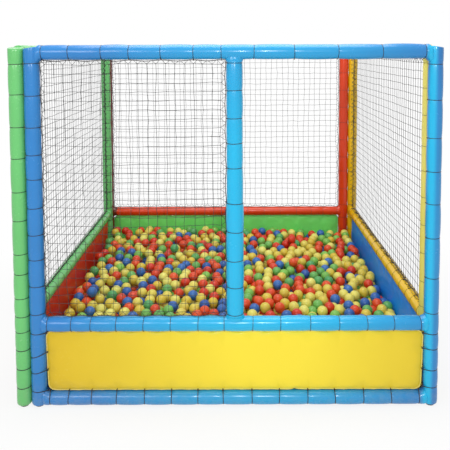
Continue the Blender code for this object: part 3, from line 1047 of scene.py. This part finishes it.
reach = max(abs(vertex.co.y - panel_middle.y) for vertex in bag.data.vertices)
print("the bag swelled to", round(2000 * reach, 1), "mm thick")

# %% [markdown]
# The rim is bound with a narrow strip, which the photograph shows as a paler line. Its path
# is the bag's own rim after the swelling, so the rim's edges are duplicated, made a curve
# with a round section, and joined to the bag again. The attribute named bound tells the
# vinyl to be paler there.

# %% Binding round the rim
binding_radius = 0.0052
binding_paleness = 0.45  # share of the rubbed colour
take(bag)
edit_mode()
bpy.ops.mesh.select_all(action="DESELECT")
bag.vertex_groups.active_index = bag.vertex_groups["rim"].index
bpy.ops.object.vertex_group_select()
bpy.ops.mesh.duplicate()
bpy.ops.transform.translate(value=(0, bag_edge / 2, 0))
bpy.ops.mesh.separate(type="SELECTED")
edit_mode(False)
binding = next(piece for piece in bpy.context.selected_objects if piece != bag)
round_steps(bag)
bpy.ops.object.shade_smooth()
take(binding)
bpy.ops.object.convert(target="CURVE")
binding = bpy.context.object
binding.data.bevel_depth = binding_radius
binding.data.bevel_resolution = 2
bpy.ops.object.convert(target="MESH")
binding = bpy.context.object
bpy.ops.object.shade_smooth()
store(binding, bound=np.full(len(binding.data.vertices), binding_paleness))
bag = join("front_panel_cover", [bag, binding])
bag.vertex_groups.clear()
print(bag.name, triangles(bag), "triangles")

# %% Copy the panel to the other sides
covers = {"front": bag}
for quarter, side in enumerate(sides[1:], start=1):
    turn = Matrix.Rotation(quarter * level, 4, "Z")
    covers[side] = copy_piece(bag, f"{side}_panel_cover", turn)
for side, cover in covers.items():
    dress(cover, panel_vinyl[side], panel_colours[side][0], f"{side}_panel")
print(len(covers), "panels")

# %% [markdown]
# ## Nets
#
# The nets are black knotted cord with square meshes of about 50 mm. Round the edge runs a
# thicker rope, which the ties pull against the padding, and the outer knots hang on that
# rope by short loops, in a zigzag. A grid gives the knots' places. Its upright and its
# level edges are kept apart, because only unbranched rows of edges turn into clean curves.

# %% Lengths of a net
mesh_wanted = 0.050
cord_radius = 0.0012
rope_radius = 0.0022
knot_radius = 2.4 * cord_radius
net_inset = 0.024  # from the rope to the outer knots
rope_slack = 0.006  # how far the rope leaves the padding between two ties
loop_half = 0.021  # half the width of a zigzag's loop on the rope
wander_across, wander_up = (0.003, 0.008), (0.002, 0.005)  # least and most of one cord
knot_error = 0.0012
belly_depth, ripple, sag = 0.010, 0.002, 0.006
rope_step = 0.022  # between two points of the rope
frame_plane = -panel_middle.y


def tube_cord(piece, radius, roundness=1):
    """Turn rows of edges into a round cord."""
    take(piece)
    bpy.ops.object.convert(target="CURVE")
    cord = bpy.context.object
    cord.data.bevel_depth = radius
    cord.data.bevel_resolution = roundness
    cord.data.use_fill_caps = True
    bpy.ops.object.convert(target="MESH")
    return bpy.context.object


def chain_piece(name, chains):
    """Loose rows of edges through the given points."""
    points = [point for chain in chains for point in chain]
    edges, first = [], 0
    for chain in chains:
        edges += [(first + step, first + step + 1) for step in range(len(chain) - 1)]
        first += len(chain)
    return mesh_piece(name, points, edges, [])


# %% [markdown]
# The net is not a perfect grid. Each cord wanders a little from knot to knot, the meshes
# hang a little lower in the middle, and the whole net bellies out by about a centimetre.

# %% One net, in the front's place
def wander(count, size):
    """A slow random walk that starts and ends at nothing."""
    steps = np.cumsum(chance.normal(0.0, 1.0, count + 1))
    line = steps - np.linspace(steps[0], steps[-1], count + 1)
    return size * line / max(1e-6, np.abs(line).max())


def make_net(side):
    low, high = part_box(f"{side}_net")
    flat = high - low
    width, height = max(flat.x, flat.y) - 2 * rope_radius, flat.z - 2 * rope_radius
    along = 0 if flat.x > flat.y else 1
    sign = turned[side]
    left = min(sign * low[along], sign * high[along]) + rope_radius
    base = low.z + rope_radius
    tie_lines = {}
    for edge, parts in {"low": "mid_rail", "high": "top_beam", "start": "first_post",
                        "end": "centre_post" if side == "front" else "second_post"}.items():
        places = made_sleeves[f"{side}_{parts}"][2]
        upright = edge in ("start", "end")
        tie_lines[edge] = sorted(places if upright else [sign * at for at in places])

    def slack(edge, at):
        """How far the rope stands off the padding at a place along one edge."""
        ties = tie_lines[edge]
        index = int(np.searchsorted(ties, at))
        if index in (0, len(ties)):
            return 0.0
        share = (at - ties[index - 1]) / (ties[index] - ties[index - 1])
        return rope_slack * math.sin(math.pi * share) ** 2

    def rope_point(edge, at):
        if edge in ("low", "high"):
            at = min(max(at, left), left + width)
            drop = slack(edge, at)
            up_to = base + drop if edge == "low" else base + height - drop
            return Vector((at, -frame_plane, up_to))
        at = min(max(at, base), base + height)
        drop = slack(edge, at)
        return Vector((left + drop if edge == "start" else left + width - drop, -frame_plane, at))

    columns = round((width - 2 * net_inset) / mesh_wanted)
    rows = round((height - 2 * net_inset) / mesh_wanted)
    across = np.linspace(left + net_inset, left + width - net_inset, columns + 1)
    upward = np.linspace(base + net_inset, base + height - net_inset, rows + 1)
    shift_x = np.stack([wander(rows, chance.uniform(*wander_across)) for _ in across])
    shift_z = np.stack([wander(columns, chance.uniform(*wander_up)) for _ in upward], axis=1)
    shift_x += chance.normal(0, knot_error, shift_x.shape)
    shift_z += chance.normal(0, knot_error, shift_z.shape)
    u = np.linspace(-1, 1, columns + 1)[:, None]
    v = np.linspace(-1, 1, rows + 1)[None, :]
    middle = (1 - u**2) * (1 - v**2)
    belly = belly_depth * middle * chance.uniform(0.6, 1.2)
    belly = belly + ripple * np.sin(5 * u + 3 * v + chance.uniform(0, 6))
    knots = np.stack(
        [
            across[:, None] + shift_x,
            -frame_plane - belly,
            upward[None, :] + shift_z - sag * middle,
        ],
        axis=-1,
    )
    chains = [[Vector(point) for point in column] for column in knots]
    chains += [[Vector(point) for point in row] for row in knots.transpose(1, 0, 2)]
    edge_knots = {"low": knots[:, 0], "high": knots[:, -1], "start": knots[0], "end": knots[-1]}
    for edge, line in edge_knots.items():
        place = 0 if edge in ("low", "high") else 2
        for knot in line:
            chains.append([
                rope_point(edge, knot[place] - loop_half),
                Vector(knot),
                rope_point(edge, knot[place] + loop_half),
            ])
    cords = tube_cord(chain_piece(f"{side}_cords", chains), cord_radius)
    steps_x = np.linspace(left, left + width, round(width / rope_step) + 1)
    steps_z = np.linspace(base, base + height, round(height / rope_step) + 1)
    loop = [rope_point("low", at) for at in steps_x]
    loop += [rope_point("end", at) for at in steps_z[1:]]
    loop += [rope_point("high", at) for at in steps_x[::-1][1:]]
    loop += [rope_point("start", at) for at in steps_z[::-1][1:]]
    rope = tube_cord(chain_piece(f"{side}_rope", [loop]), rope_radius, 2)
    deselect()
    bpy.ops.mesh.primitive_ico_sphere_add(subdivisions=1, radius=knot_radius)
    knot_shape, knot_faces = take_shape()
    knot_points = knots.reshape(-1, 1, 3) + knot_shape[None]
    tied = copied_mesh(f"{side}_knots", knot_points, knot_faces)
    net = join(f"{side}_knotted_net", [cords, rope, tied])
    bpy.ops.object.shade_smooth()
    net.data.transform(Matrix.Rotation(sides.index(side) * level, 4, "Z"))
    return net, columns, rows


# %% Finish of the cord
net_black, tree, shader = new_material("net_black")
place = object_place(tree)
dusty = spread(tree, noise(tree, place, 70.0, 4.0, 0.6), 0.35, 0.7)
shades = (0.022, 0.022, 0.024, 1), (0.070, 0.068, 0.066, 1)
put(shader["Base Color"], blend(tree, dusty, *shades))
put(shader["Roughness"], 0.75)
put(shader["Normal"], bump(tree, times(tree, noise(tree, place, 1400.0, 3.0, 0.7), 0.0004)))
print("material", net_black.name, "has", len(tree.nodes), "nodes")

# %% All four nets
for side in sides:
    net, columns, rows = make_net(side)
    dress(net, net_black, "net_cord", f"{side}_net")
    print(net.name, columns, "by", rows, "meshes,", triangles(net), "triangles")

# %% [markdown]
# Some edges of the nets are laced to their tube with a thicker cord, which the photograph
# shows as dark bands on the side rails and as dotted lines on the rear posts.
# The lacing is a zigzag on the tube's skin, to both sides of the net's rope.

# %% Lacing
lacings = {  # step along the tube, half angle round it, radius of the cord
    "right_mid_rail": (0.009, 0.42, 0.0017),
    "right_second_post": (0.020, 0.45, 0.0024),
    "left_first_post": (0.022, 0.26, 0.0025),
    "left_mid_rail": (0.014, 0.16, 0.0022),
    "back_second_post": (0.012, 0.60, 0.0022),
}
for tube, (step, half_angle, cord) in lacings.items():
    side = tube.split("_")[0]
    radius = made_sleeves[tube][3]
    start, _, along, _ = sleeve_axis(f"{tube}_sleeve")
    toward = {"d_rail": up, "t_post": frame_way[side], "d_post": -frame_way[side]}[tube[-6:]]
    first, last = (corner[along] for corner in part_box(f"{side}_net"))
    zigzag = []
    for index, place in enumerate(np.arange(first + step, last - step, step)):
        angle = (1 if index % 2 else -1) * half_angle * chance.uniform(0.6, 1.15)
        reach = radius + cord
        spot = start + reach * (math.cos(angle) * toward + math.sin(angle) * out_way[side])
        spot[along] = place + chance.uniform(-0.2, 0.2) * step
        zigzag.append(spot)
    lacing = tube_cord(chain_piece(f"{tube}_lacing", [zigzag]), cord)
    lacing.name = f"{tube}_lacing"
    bpy.ops.object.shade_smooth()
    dress(lacing, net_black, "net_cord")
    print(lacing.name, len(zigzag), "turns,", triangles(lacing), "triangles")

# %% [markdown]
# ## Floor mats
#
# Four foam mats in vinyl lie side by side under the balls. Each is a box with rounded edges
# and a slightly crowned top.

# %% Mats
mat_colours = srgb(44, 86, 160), srgb(110, 150, 200)
mat_vinyl = vinyl("mat_vinyl", *mat_colours, roughness=0.45, waves=0.001, creases=0.0)
mat_gap, mat_round, mat_crown = 0.006, 0.012, 0.003
mat_rings = (-0.4, -0.2, 0.0, 0.2, 0.4)  # shares of a mat's size
mat_names = [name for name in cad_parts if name.startswith("floor_mat")]
for name in sorted(mat_names):
    low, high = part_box(name)
    middle = (low + high) / 2
    deselect()
    bpy.ops.mesh.primitive_cube_add(size=1, location=middle)
    mat = bpy.context.object
    mat.scale = high - low - Vector((mat_gap, mat_gap, 0.0))
    mat = named(f"{name}_cover")
    apply_modifier(mat, "BEVEL", width=mat_round, segments=3)
    edit_mode()
    for axis in (0, 1):
        for share in mat_rings:
            spot = middle + unit(axis) * share * (high - low)[axis]
            cut_ring(spot, unit(axis))
    select_parts(
        mat,
        "vertices",
        lambda vertex: vertex.co.z > high.z - 0.001
        and max(abs(vertex.co.x - middle.x), abs(vertex.co.y - middle.y)) > 0.5,
    )
    bpy.ops.transform.translate(value=(0, 0, -mat_crown))
    edit_mode(False)
    round_steps(mat)
    bpy.ops.object.shade_smooth()
    mat.data.attributes.new("pinch", "FLOAT", "POINT")
    dress(mat, mat_vinyl, "mat_vinyl", name)
print(len(mat_names), "mats,", triangles(mat), "triangles each")

# %% [markdown]
# ## The heap of balls
#
# A pit this size holds some thousands of 70 mm balls. Scattered at random they would pass
# through each other, and a rigid body simulation of so many is slow. Instead the balls
# start at random places and push each other apart step by step, while a weak pull draws
# them down. Walls, posts, rails and the six loose balls push back. The six rest in cups of
# three fixed balls, so that they touch the heap just where the model has them.

# %% Sizes of the heap
ball_radius = 0.035
wall = 1.118  # from the middle to where the balls meet the panels
heap_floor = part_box("ball_filling")[0].z
wall_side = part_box("ball_filling")[1].x
loose_names = sorted(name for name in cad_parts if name.startswith("loose_ball"))
loose_centres = np.array([sum(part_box(name), Vector()) / 2 for name in loose_names])
fill_edge, fill_crown, fill_fall, fill_rise = 0.285, 0.030, 0.020, 0.020
sunk_depth, sunk_scatter = 0.015, 0.004  # of a surface ball's middle, under the heap's top
surface_spacing = 0.0715  # least distance between two surface balls, seen from above
cup_radius, cup_turn = 0.0536, 0.7
free_depth, free_scatter = 0.024, 0.007  # of a free ball's ceiling, under the heap's top
sink, calm_sink = 0.0004, 0.0005  # how far the weak pull moves a ball in one step
fine_depth = 0.085  # under the heap's top, to which the finer balls reach
tries = 30000  # at finding room for one more surface ball
eager, crowded_by = 0.9, 0.30  # a ball takes less of its push, the more balls touch it


def fill_top(x, y):
    """Height of the heap: crowned, and higher to the left and the back."""
    across, along = x / wall_side, y / wall_side
    crown = 1 - (across**2 + along**2) / 2
    return fill_edge + fill_crown * crown - fill_fall * across + fill_rise * along


# %% [markdown]
# The model's heap has a peak for each ball at its surface, so those balls are placed by the
# same rule here: three round each loose ball, then places drawn one after another, each
# kept only if it is not too near to one that is already there.

# %% Balls at the surface
def surface_balls(seats):
    """Middles of the balls at the heap's surface."""
    found = []
    for number, (x, y) in enumerate(seats):
        for third in range(3):
            angle = number * cup_turn + third * math.radians(120)
            spot = (x + cup_radius * math.cos(angle), y + cup_radius * math.sin(angle))
            found.append((*spot, fill_top(*spot) - sunk_depth))
    draw = random.Random(11)
    reach = wall_side - ball_radius
    cells = {}
    for spot in found:
        cell = math.floor(spot[0] / surface_spacing), math.floor(spot[1] / surface_spacing)
        cells.setdefault(cell, []).append(spot)
    for _ in range(tries):
        x, y = draw.uniform(-reach, reach), draw.uniform(-reach, reach)
        lift = draw.uniform(-sunk_scatter, sunk_scatter)
        column, row = math.floor(x / surface_spacing), math.floor(y / surface_spacing)
        near = [
            other
            for step in (-1, 0, 1)
            for side_step in (-1, 0, 1)
            for other in cells.get((column + step, row + side_step), ())
        ]
        crowded = any(math.hypot(x - other[0], y - other[1]) < surface_spacing for other in near)
        seated = any(math.hypot(x - seat[0], y - seat[1]) < surface_spacing for seat in seats)
        if not crowded and not seated:
            spot = (x, y, fill_top(x, y) - sunk_depth + lift)
            cells.setdefault((column, row), []).append(spot)
            found.append(spot)
    return found


placed = surface_balls([tuple(centre[:2]) for centre in loose_centres])
fixed = np.vstack([loose_centres, placed])
post_lines = np.array([[foot.x, foot.y] for foot in post_line.values()])
rail_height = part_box("front_bottom_rail_sleeve")[1].z / 2
print(len(loose_centres), "loose balls and", len(placed), "at the surface stay where they are")

# %% Which balls are close to each other
def close_pairs(points, reach):
    """Index pairs of points nearer than reach, found through a grid of cells."""
    cells = np.floor((points - points.min(axis=0)) / reach).astype(np.int64) + 1
    size = cells.max(axis=0) + 2
    key = (cells[:, 0] * size[1] + cells[:, 1]) * size[2] + cells[:, 2]
    order = np.argsort(key, kind="stable")
    ranked = key[order]
    own = np.arange(len(points))
    found = []
    for step_x in (0, 1):
        for step_y in (-1, 0, 1):
            for step_z in (-1, 0, 1):
                if (step_x, step_y, step_z) < (0, 0, 0):
                    continue
                target = key + (step_x * size[1] + step_y) * size[2] + step_z
                first = np.searchsorted(ranked, target, "left")
                last = np.searchsorted(ranked, target, "right")
                for rank in range(int((last - first).max())):
                    there = first + rank < last
                    found.append(np.stack([own[there], order[(first + rank)[there]]], axis=1))
    pairs = np.concatenate(found)
    same_cell = key[pairs[:, 0]] == key[pairs[:, 1]]
    pairs = pairs[~same_cell | (pairs[:, 0] < pairs[:, 1])]
    gap = np.linalg.norm(points[pairs[:, 0]] - points[pairs[:, 1]], axis=1)
    return pairs[(gap < reach) & (gap > 1e-9)]


# %% Let the balls settle
def settle(count, steps, calm):
    """Places of the free balls after pushing each other apart."""
    room = wall - ball_radius
    rail_reach = 0.040 + ball_radius  # from a bottom rail's axis to a ball that touches it
    spots = chance.uniform(-1, 1, (count, 3))
    spots[:, :2] *= room
    tops = fill_top(spots[:, 0], spots[:, 1]) - free_depth
    lowest = heap_floor + ball_radius
    spots[:, 2] = lowest + (tops - lowest) * (spots[:, 2] + 1) / 2
    rough = chance.normal(0.0, free_scatter, count)
    points = np.vstack([fixed, spots])
    free = np.arange(len(points)) >= len(fixed)
    for step in range(steps + calm):
        pairs = close_pairs(points, 2 * ball_radius)
        apart = points[pairs[:, 0]] - points[pairs[:, 1]]
        gap = np.linalg.norm(apart, axis=1)
        push = apart * ((2 * ball_radius - gap) / gap * 0.5)[:, None]
        both_free = free[pairs[:, 0]] & free[pairs[:, 1]]
        push[~both_free] *= 2
        move = np.zeros_like(points)
        for axis in range(3):
            move[:, axis] = np.bincount(pairs[:, 0], push[:, axis], len(points))
            move[:, axis] -= np.bincount(pairs[:, 1], push[:, axis], len(points))
        touches = np.bincount(pairs.ravel(), minlength=len(points))
        move *= (eager / np.maximum(1.0, crowded_by * touches))[:, None]
        move[:, 2] -= sink if step < steps else calm_sink * (1 - (step - steps) / calm)
        move[~free] = 0
        points += move
        mine = points[free]
        for post in post_lines:
            away = mine[:, :2] - post
            gap = np.linalg.norm(away, axis=1)
            least = post_skin + ball_radius
            near = gap < least
            mine[near, :2] = post + away[near] * (least / gap[near])[:, None]
        for axis in (0, 1):
            way = np.sign(mine[:, axis])
            away = np.stack([mine[:, axis] - way * frame_plane, mine[:, 2] - rail_height], axis=1)
            gap = np.linalg.norm(away, axis=1)
            near = gap < rail_reach
            away[near] *= (rail_reach / gap[near])[:, None]
            mine[near, axis] = way[near] * frame_plane + away[near, 0]
            mine[near, 2] = rail_height + away[near, 1]
        mine[:, :2] = np.clip(mine[:, :2], -room, room)
        mine[:, 2] = np.maximum(mine[:, 2], heap_floor + ball_radius)
        if step < steps:
            ceiling = fill_top(mine[:, 0], mine[:, 1]) - free_depth + rough
            mine[:, 2] = np.minimum(mine[:, 2], ceiling)
        points[free] = mine
    pairs = close_pairs(points, 2 * ball_radius)
    gap = np.linalg.norm(points[pairs[:, 0]] - points[pairs[:, 1]], axis=1)
    print(len(points), "balls; deepest overlap", round(1000 * (2 * ball_radius - gap.min()), 1),
          "mm, usual", round(1000 * np.median(2 * ball_radius - gap), 2), "mm")
    return points


heap_count = 3430
steps, calm = ((260, 90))
heap = settle(heap_count, steps, calm)[len(loose_centres):]

# %% [markdown]
# ### One ball, copied thousands of times
#
# Each copy may only have a few dozen faces. A cube that is subdivided and cast to a sphere
# has evenly sized faces, unlike a UV sphere, whose poles are crowded. The copies under the
# surface are coarser still. Every ball is turned at random, and carries two attributes: its
# own tone, and the height over its mould seam, so the material can draw the seam.

# %% Two balls to copy
def cast_ball(cuts, spare):
    """Points and faces of a cube cast to a sphere; spare makes up for its flat faces."""
    deselect()
    bpy.ops.mesh.primitive_cube_add(size=1)
    edit_mode()
    bpy.ops.mesh.subdivide(number_cuts=cuts)
    edit_mode(False)
    places, faces = take_shape()
    bent = np.tan(places * (math.pi / 4) * 2) / 2
    bent *= spare * ball_radius / np.linalg.norm(bent, axis=1)[:, None]
    return bent, faces


surface_ball, buried_ball = cast_ball(3, 1.02), cast_ball(2, 1.03)
print("a ball at the surface has", len(surface_ball[1]), "faces, a buried one", len(buried_ball[1]))


def random_turns(count):
    """Rotation matrices with no preferred direction, from unit quaternions."""
    quaternions = chance.normal(size=(count, 4))
    w, x, y, z = (quaternions / np.linalg.norm(quaternions, axis=1)[:, None]).T
    return np.stack([
        np.stack([1 - 2 * (y * y + z * z), 2 * (x * y - z * w), 2 * (x * z + y * w)], axis=1),
        np.stack([2 * (x * y + z * w), 1 - 2 * (x * x + z * z), 2 * (y * z - x * w)], axis=1),
        np.stack([2 * (x * z - y * w), 2 * (y * z + x * w), 1 - 2 * (x * x + y * y)], axis=1),
    ], axis=1)


def ball_copies(name, centres, shape):
    """One mesh of many turned copies of a ball."""
    points, faces = shape
    turned_points = np.einsum("nij,pj->npi", random_turns(len(centres)), points)
    piece = copied_mesh(name, centres[:, None, :] + turned_points, faces)
    tone = np.repeat(chance.uniform(0, 1, len(centres)), len(points))
    seam = np.tile(points[:, 2] / ball_radius, len(centres))
    store(piece, ball_tone=tone, seam_height=seam)
    take(piece)
    bpy.ops.object.shade_smooth()
    return piece


# %% [markdown]
# ### Ball plastic
#
# The balls are blown polyethylene: one strong colour each with slight differences from
# batch to batch, a waxy gloss, fine scratches from rubbing, and a faint ridge at the mould
# seam. One group holds all of that, and four materials use it.

# %% Group: ball surface
ball_surface, given, gives = new_group(
    "ball_surface",
    {
        "Colour": (0.5, 0.5, 0.5, 1),
        "Batch Colour": (0.6, 0.5, 0.5, 1),
        "Scratches": 0.00012,
        "Seam": 0.0004,
    },
    {"Colour": "Color", "Dull": "Float", "Normal": "Vector"},
)
tree = ball_surface
place = object_place(tree)
colour = blend(tree, stored(tree, "ball_tone"), given["Colour"], given["Batch Colour"])
cloudy = spread(tree, noise(tree, place, 40.0, 3.0), 0.3, 0.7, 0.94, 1.05)
put(gives["Colour"], add_node(tree, "HueSaturation", Color=colour, Value=cloudy))
put(gives["Dull"], spread(tree, noise(tree, place, 260.0, 5.0, 0.7), 0.5, 0.75))
over_seam = add_node(tree, "Math", stored(tree, "seam_height"), operation="ABSOLUTE")
ridge = times(tree, spread(tree, over_seam, 0.0, 0.045, 1.0, 0.0), given["Seam"])
scratch = times(tree, noise(tree, place, 420.0, 4.0, 0.7), given["Scratches"])
put(gives["Normal"], bump(tree, add_node(tree, "Math", ridge, scratch, operation="ADD")))
print("group", tree.name, "has", len(tree.nodes), "nodes")


def ball_plastic(name, colour, batch_colour):
    made, tree, shader = new_material(name)
    look = use_group(tree, ball_surface, Colour=colour, Batch_Colour=batch_colour)
    put(shader["Base Color"], look["Colour"])
    put(shader["Roughness"], spread(tree, look["Dull"], 0.0, 1.0, 0.28, 0.5))
    put(shader["Normal"], look["Normal"])
    put(shader["Specular IOR Level"], 0.4)
    return made


ball_plastics = {
    "red": ball_plastic("ball_plastic_red", srgb(226, 86, 36), srgb(204, 46, 26)),
    "yellow": ball_plastic("ball_plastic_yellow", srgb(230, 226, 116), srgb(214, 186, 56)),
    "green": ball_plastic("ball_plastic_green", srgb(132, 192, 78), srgb(72, 156, 94)),
    "blue": ball_plastic("ball_plastic_blue", srgb(56, 112, 184), srgb(40, 84, 160)),
}

# %% Build the heap, colour by colour
shares = {"red": 0.32, "yellow": 0.36, "green": 0.20, "blue": 0.12}
colour_names = list(shares)
drawn = chance.choice(len(shares), len(heap), p=list(shares.values()))
near_top = heap[:, 2] > fill_top(heap[:, 0], heap[:, 1]) - fine_depth
total = 0
layers = (("top", near_top, surface_ball), ("below", ~near_top, buried_ball))
for index, colour_name in enumerate(colour_names):
    for depth, chosen, shape in layers:
        centres = heap[(drawn == index) & chosen]
        piece = ball_copies(f"heap_{colour_name}_{depth}", centres, shape)
        dress(piece, ball_plastics[colour_name], f"ball_{colour_name}", "ball_filling")
        total += triangles(piece)
print(len(heap), "balls in the heap,", total, "triangles")

# %% [markdown]
# ### The six loose balls
#
# These can be lifted out and looked at closely, so they are finer. Each has the raised
# mould seam in its mesh: a ring of faces round the equator is scaled out by a hair.

# %% Loose balls
seam_room = 0.0006  # the sphere is smaller by this, so that the seam stands out of it
seam_rings = (-0.0016, -0.0006, 0.0006, 0.0016)  # heights of the cuts
seam_half = 0.0007  # just over the two inner cuts
seam_share = 1.014
for name, centre in zip(loose_names, loose_centres):
    colour_name = name.split("_")[-1]
    deselect()
    bpy.ops.mesh.primitive_uv_sphere_add(segments=32, ring_count=16, radius=ball_radius - seam_room)
    ball = bpy.context.object
    edit_mode()
    for height in seam_rings:
        cut_ring(Vector((0, 0, height)), unit(2))
    select_parts(ball, "vertices", lambda vertex: abs(vertex.co.z) < seam_half)
    bpy.ops.transform.resize(value=(seam_share, seam_share, 1))
    edit_mode(False)
    heights = [vertex.co.z / ball_radius for vertex in ball.data.vertices]
    ball = named(f"{name}_shell")
    bpy.ops.object.shade_smooth()
    store(ball, seam_height=heights, ball_tone=np.full(len(heights), chance.uniform(0, 1)))
    turn = Matrix(random_turns(1)[0].tolist()).to_4x4()
    ball.data.transform(Matrix.Translation(Vector(centre)) @ turn)
    ball.data.materials.append(ball_plastics[colour_name])
    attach(ball, name)
    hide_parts(name)
print(len(loose_names), "loose balls,", triangles(ball), "triangles each")

# %% [markdown]
# ## Steel, rubber and zinc
#
# The frames, feet and bolts keep their solids. Galvanised steel has a spangle of pale and
# dark crystals, rubber is dull and dusty, and zinc plating is smooth with faint clouds.

# %% Metals and rubber
def plain_finish(name, first, second, scale, rough, metal, depth):
    """A finish whose colour and gloss wander between two values."""
    made, tree, shader = new_material(name)
    place = object_place(tree)
    cells = add_node(tree, "TexVoronoi", out="Distance", Vector=place, Scale=scale)
    clouds = noise(tree, place, scale / 3, 4.0)
    amount = spread(tree, times(tree, cells, clouds), 0.05, 0.40)
    put(shader["Base Color"], blend(tree, amount, first, second))
    put(shader["Roughness"], spread(tree, amount, 0.0, 1.0, *rough))
    put(shader["Metallic"], metal)
    put(shader["Normal"], bump(tree, times(tree, clouds, depth)))
    return made


finishes = {
    "steel_frame": plain_finish(
        "galvanised_steel", (0.52, 0.53, 0.54, 1), (0.66, 0.67, 0.68, 1),
        90.0, (0.35, 0.5), 1.0, 0.0001,
    ),
    "foot": plain_finish(
        "foot_rubber", (0.018, 0.018, 0.019, 1), (0.05, 0.048, 0.045, 1),
        300.0, (0.7, 0.85), 0.0, 0.0003,
    ),
    "bolt": plain_finish(
        "bolt_zinc", (0.58, 0.58, 0.56, 1), (0.70, 0.69, 0.66, 1),
        200.0, (0.25, 0.4), 1.0, 0.00005,
    ),
}
for name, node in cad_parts.items():
    for ending, finish in finishes.items():
        if name.endswith(ending):
            for place in node.material_slots:
                place.material = finish
print(len(finishes), "finishes for the solids that stay as they are")

# %% [markdown]
# ## Floor and light
#
# The picture is a cut-out on white. The floor is a plain white plane. To the camera most of
# its colour comes from its own faint glow, so that it joins the white background, and the
# rest is lit, which keeps the shadow. The world is white where it is seen or mirrored, and
# dimmer where it lights the pit. One soft lamp stands over the camera and to the left, a
# small strong one beside it draws the white lines on the tubes, and a large one is overhead.

# %% Floor
def seen_rays(tree):
    """1 for rays that show a thing to the camera, straight, mirrored or through glass."""
    kinds = ("Camera", "Glossy", "Transmission")
    rays = [add_node(tree, "LightPath", out=f"Is {kind} Ray") for kind in kinds]
    seen = add_node(tree, "Math", *rays[:2], operation="MAXIMUM")
    return add_node(tree, "Math", seen, rays[2], operation="MAXIMUM")


deselect()
bpy.ops.mesh.primitive_plane_add(size=60)
floor = named("studio_floor")
edit_mode()
bpy.ops.mesh.subdivide(number_cuts=4)
edit_mode(False)
pale, tree, shader = new_material("pale_floor")
put(shader["Base Color"], (0.86, 0.86, 0.86, 1))
put(shader["Roughness"], 0.9)
put(shader["Specular IOR Level"], 0.1)
glow = add_node(tree, "Emission", Color=(1, 1, 1, 1), Strength=1.0)
from_pit = add_node(tree, "VectorMath", object_place(tree), operation="LENGTH", out="Value")
glowing = times(tree, seen_rays(tree), spread(tree, from_pit, 1.3, 2.6, 0.82, 1.0))
lit = tree.nodes["Principled BSDF"].outputs[0]
mixed = add_node(tree, "MixShader", glowing, lit, glow)
put(tree.nodes["Material Output"].inputs["Surface"], mixed)
floor.data.materials.append(pale)
print(floor.name, "belongs to the stage")

# %% World
world = bpy.data.worlds.new("white_studio")
bpy.context.scene.world = world
world.use_nodes = True
tree = world.node_tree
background = tree.nodes["Background"].inputs
put(background["Color"], (1, 1, 1, 1))
lit_share = 0.50  # of the white that is seen
put(background["Strength"], spread(tree, seen_rays(tree), 0.0, 1.0, lit_share, 1.0))
print("the world lights the pit with", lit_share, "of its white")

# %% Lamps
def soft_lamp(name, place, aim, size, power):
    """A square area lamp that faces a point."""
    deselect()
    bpy.ops.object.light_add(type="AREA", location=place)
    lamp = bpy.context.object
    lamp.name = name
    lamp.data.shape = "RECTANGLE"
    lamp.data.size, lamp.data.size_y = size
    lamp.data.energy = power
    lamp.rotation_euler = (Vector(aim) - Vector(place)).to_track_quat("-Z", "Y").to_euler()
    print(name, power, "W")


soft_lamp("front_softbox", (-2.0, -4.8, 3.0), (0.2, -0.6, 0.6), (1.8, 1.4), 50)
soft_lamp("key_lamp", (0.25, -4.8, 2.7), (0.1, -1.0, 0.6), (0.18, 0.18), 40)
soft_lamp("overhead_softbox", (0.0, -0.4, 4.6), (0.0, 0.0, 0.0), (3.0, 3.0), 100)

# %% View transform
bpy.context.scene.view_settings.view_transform = "Standard"
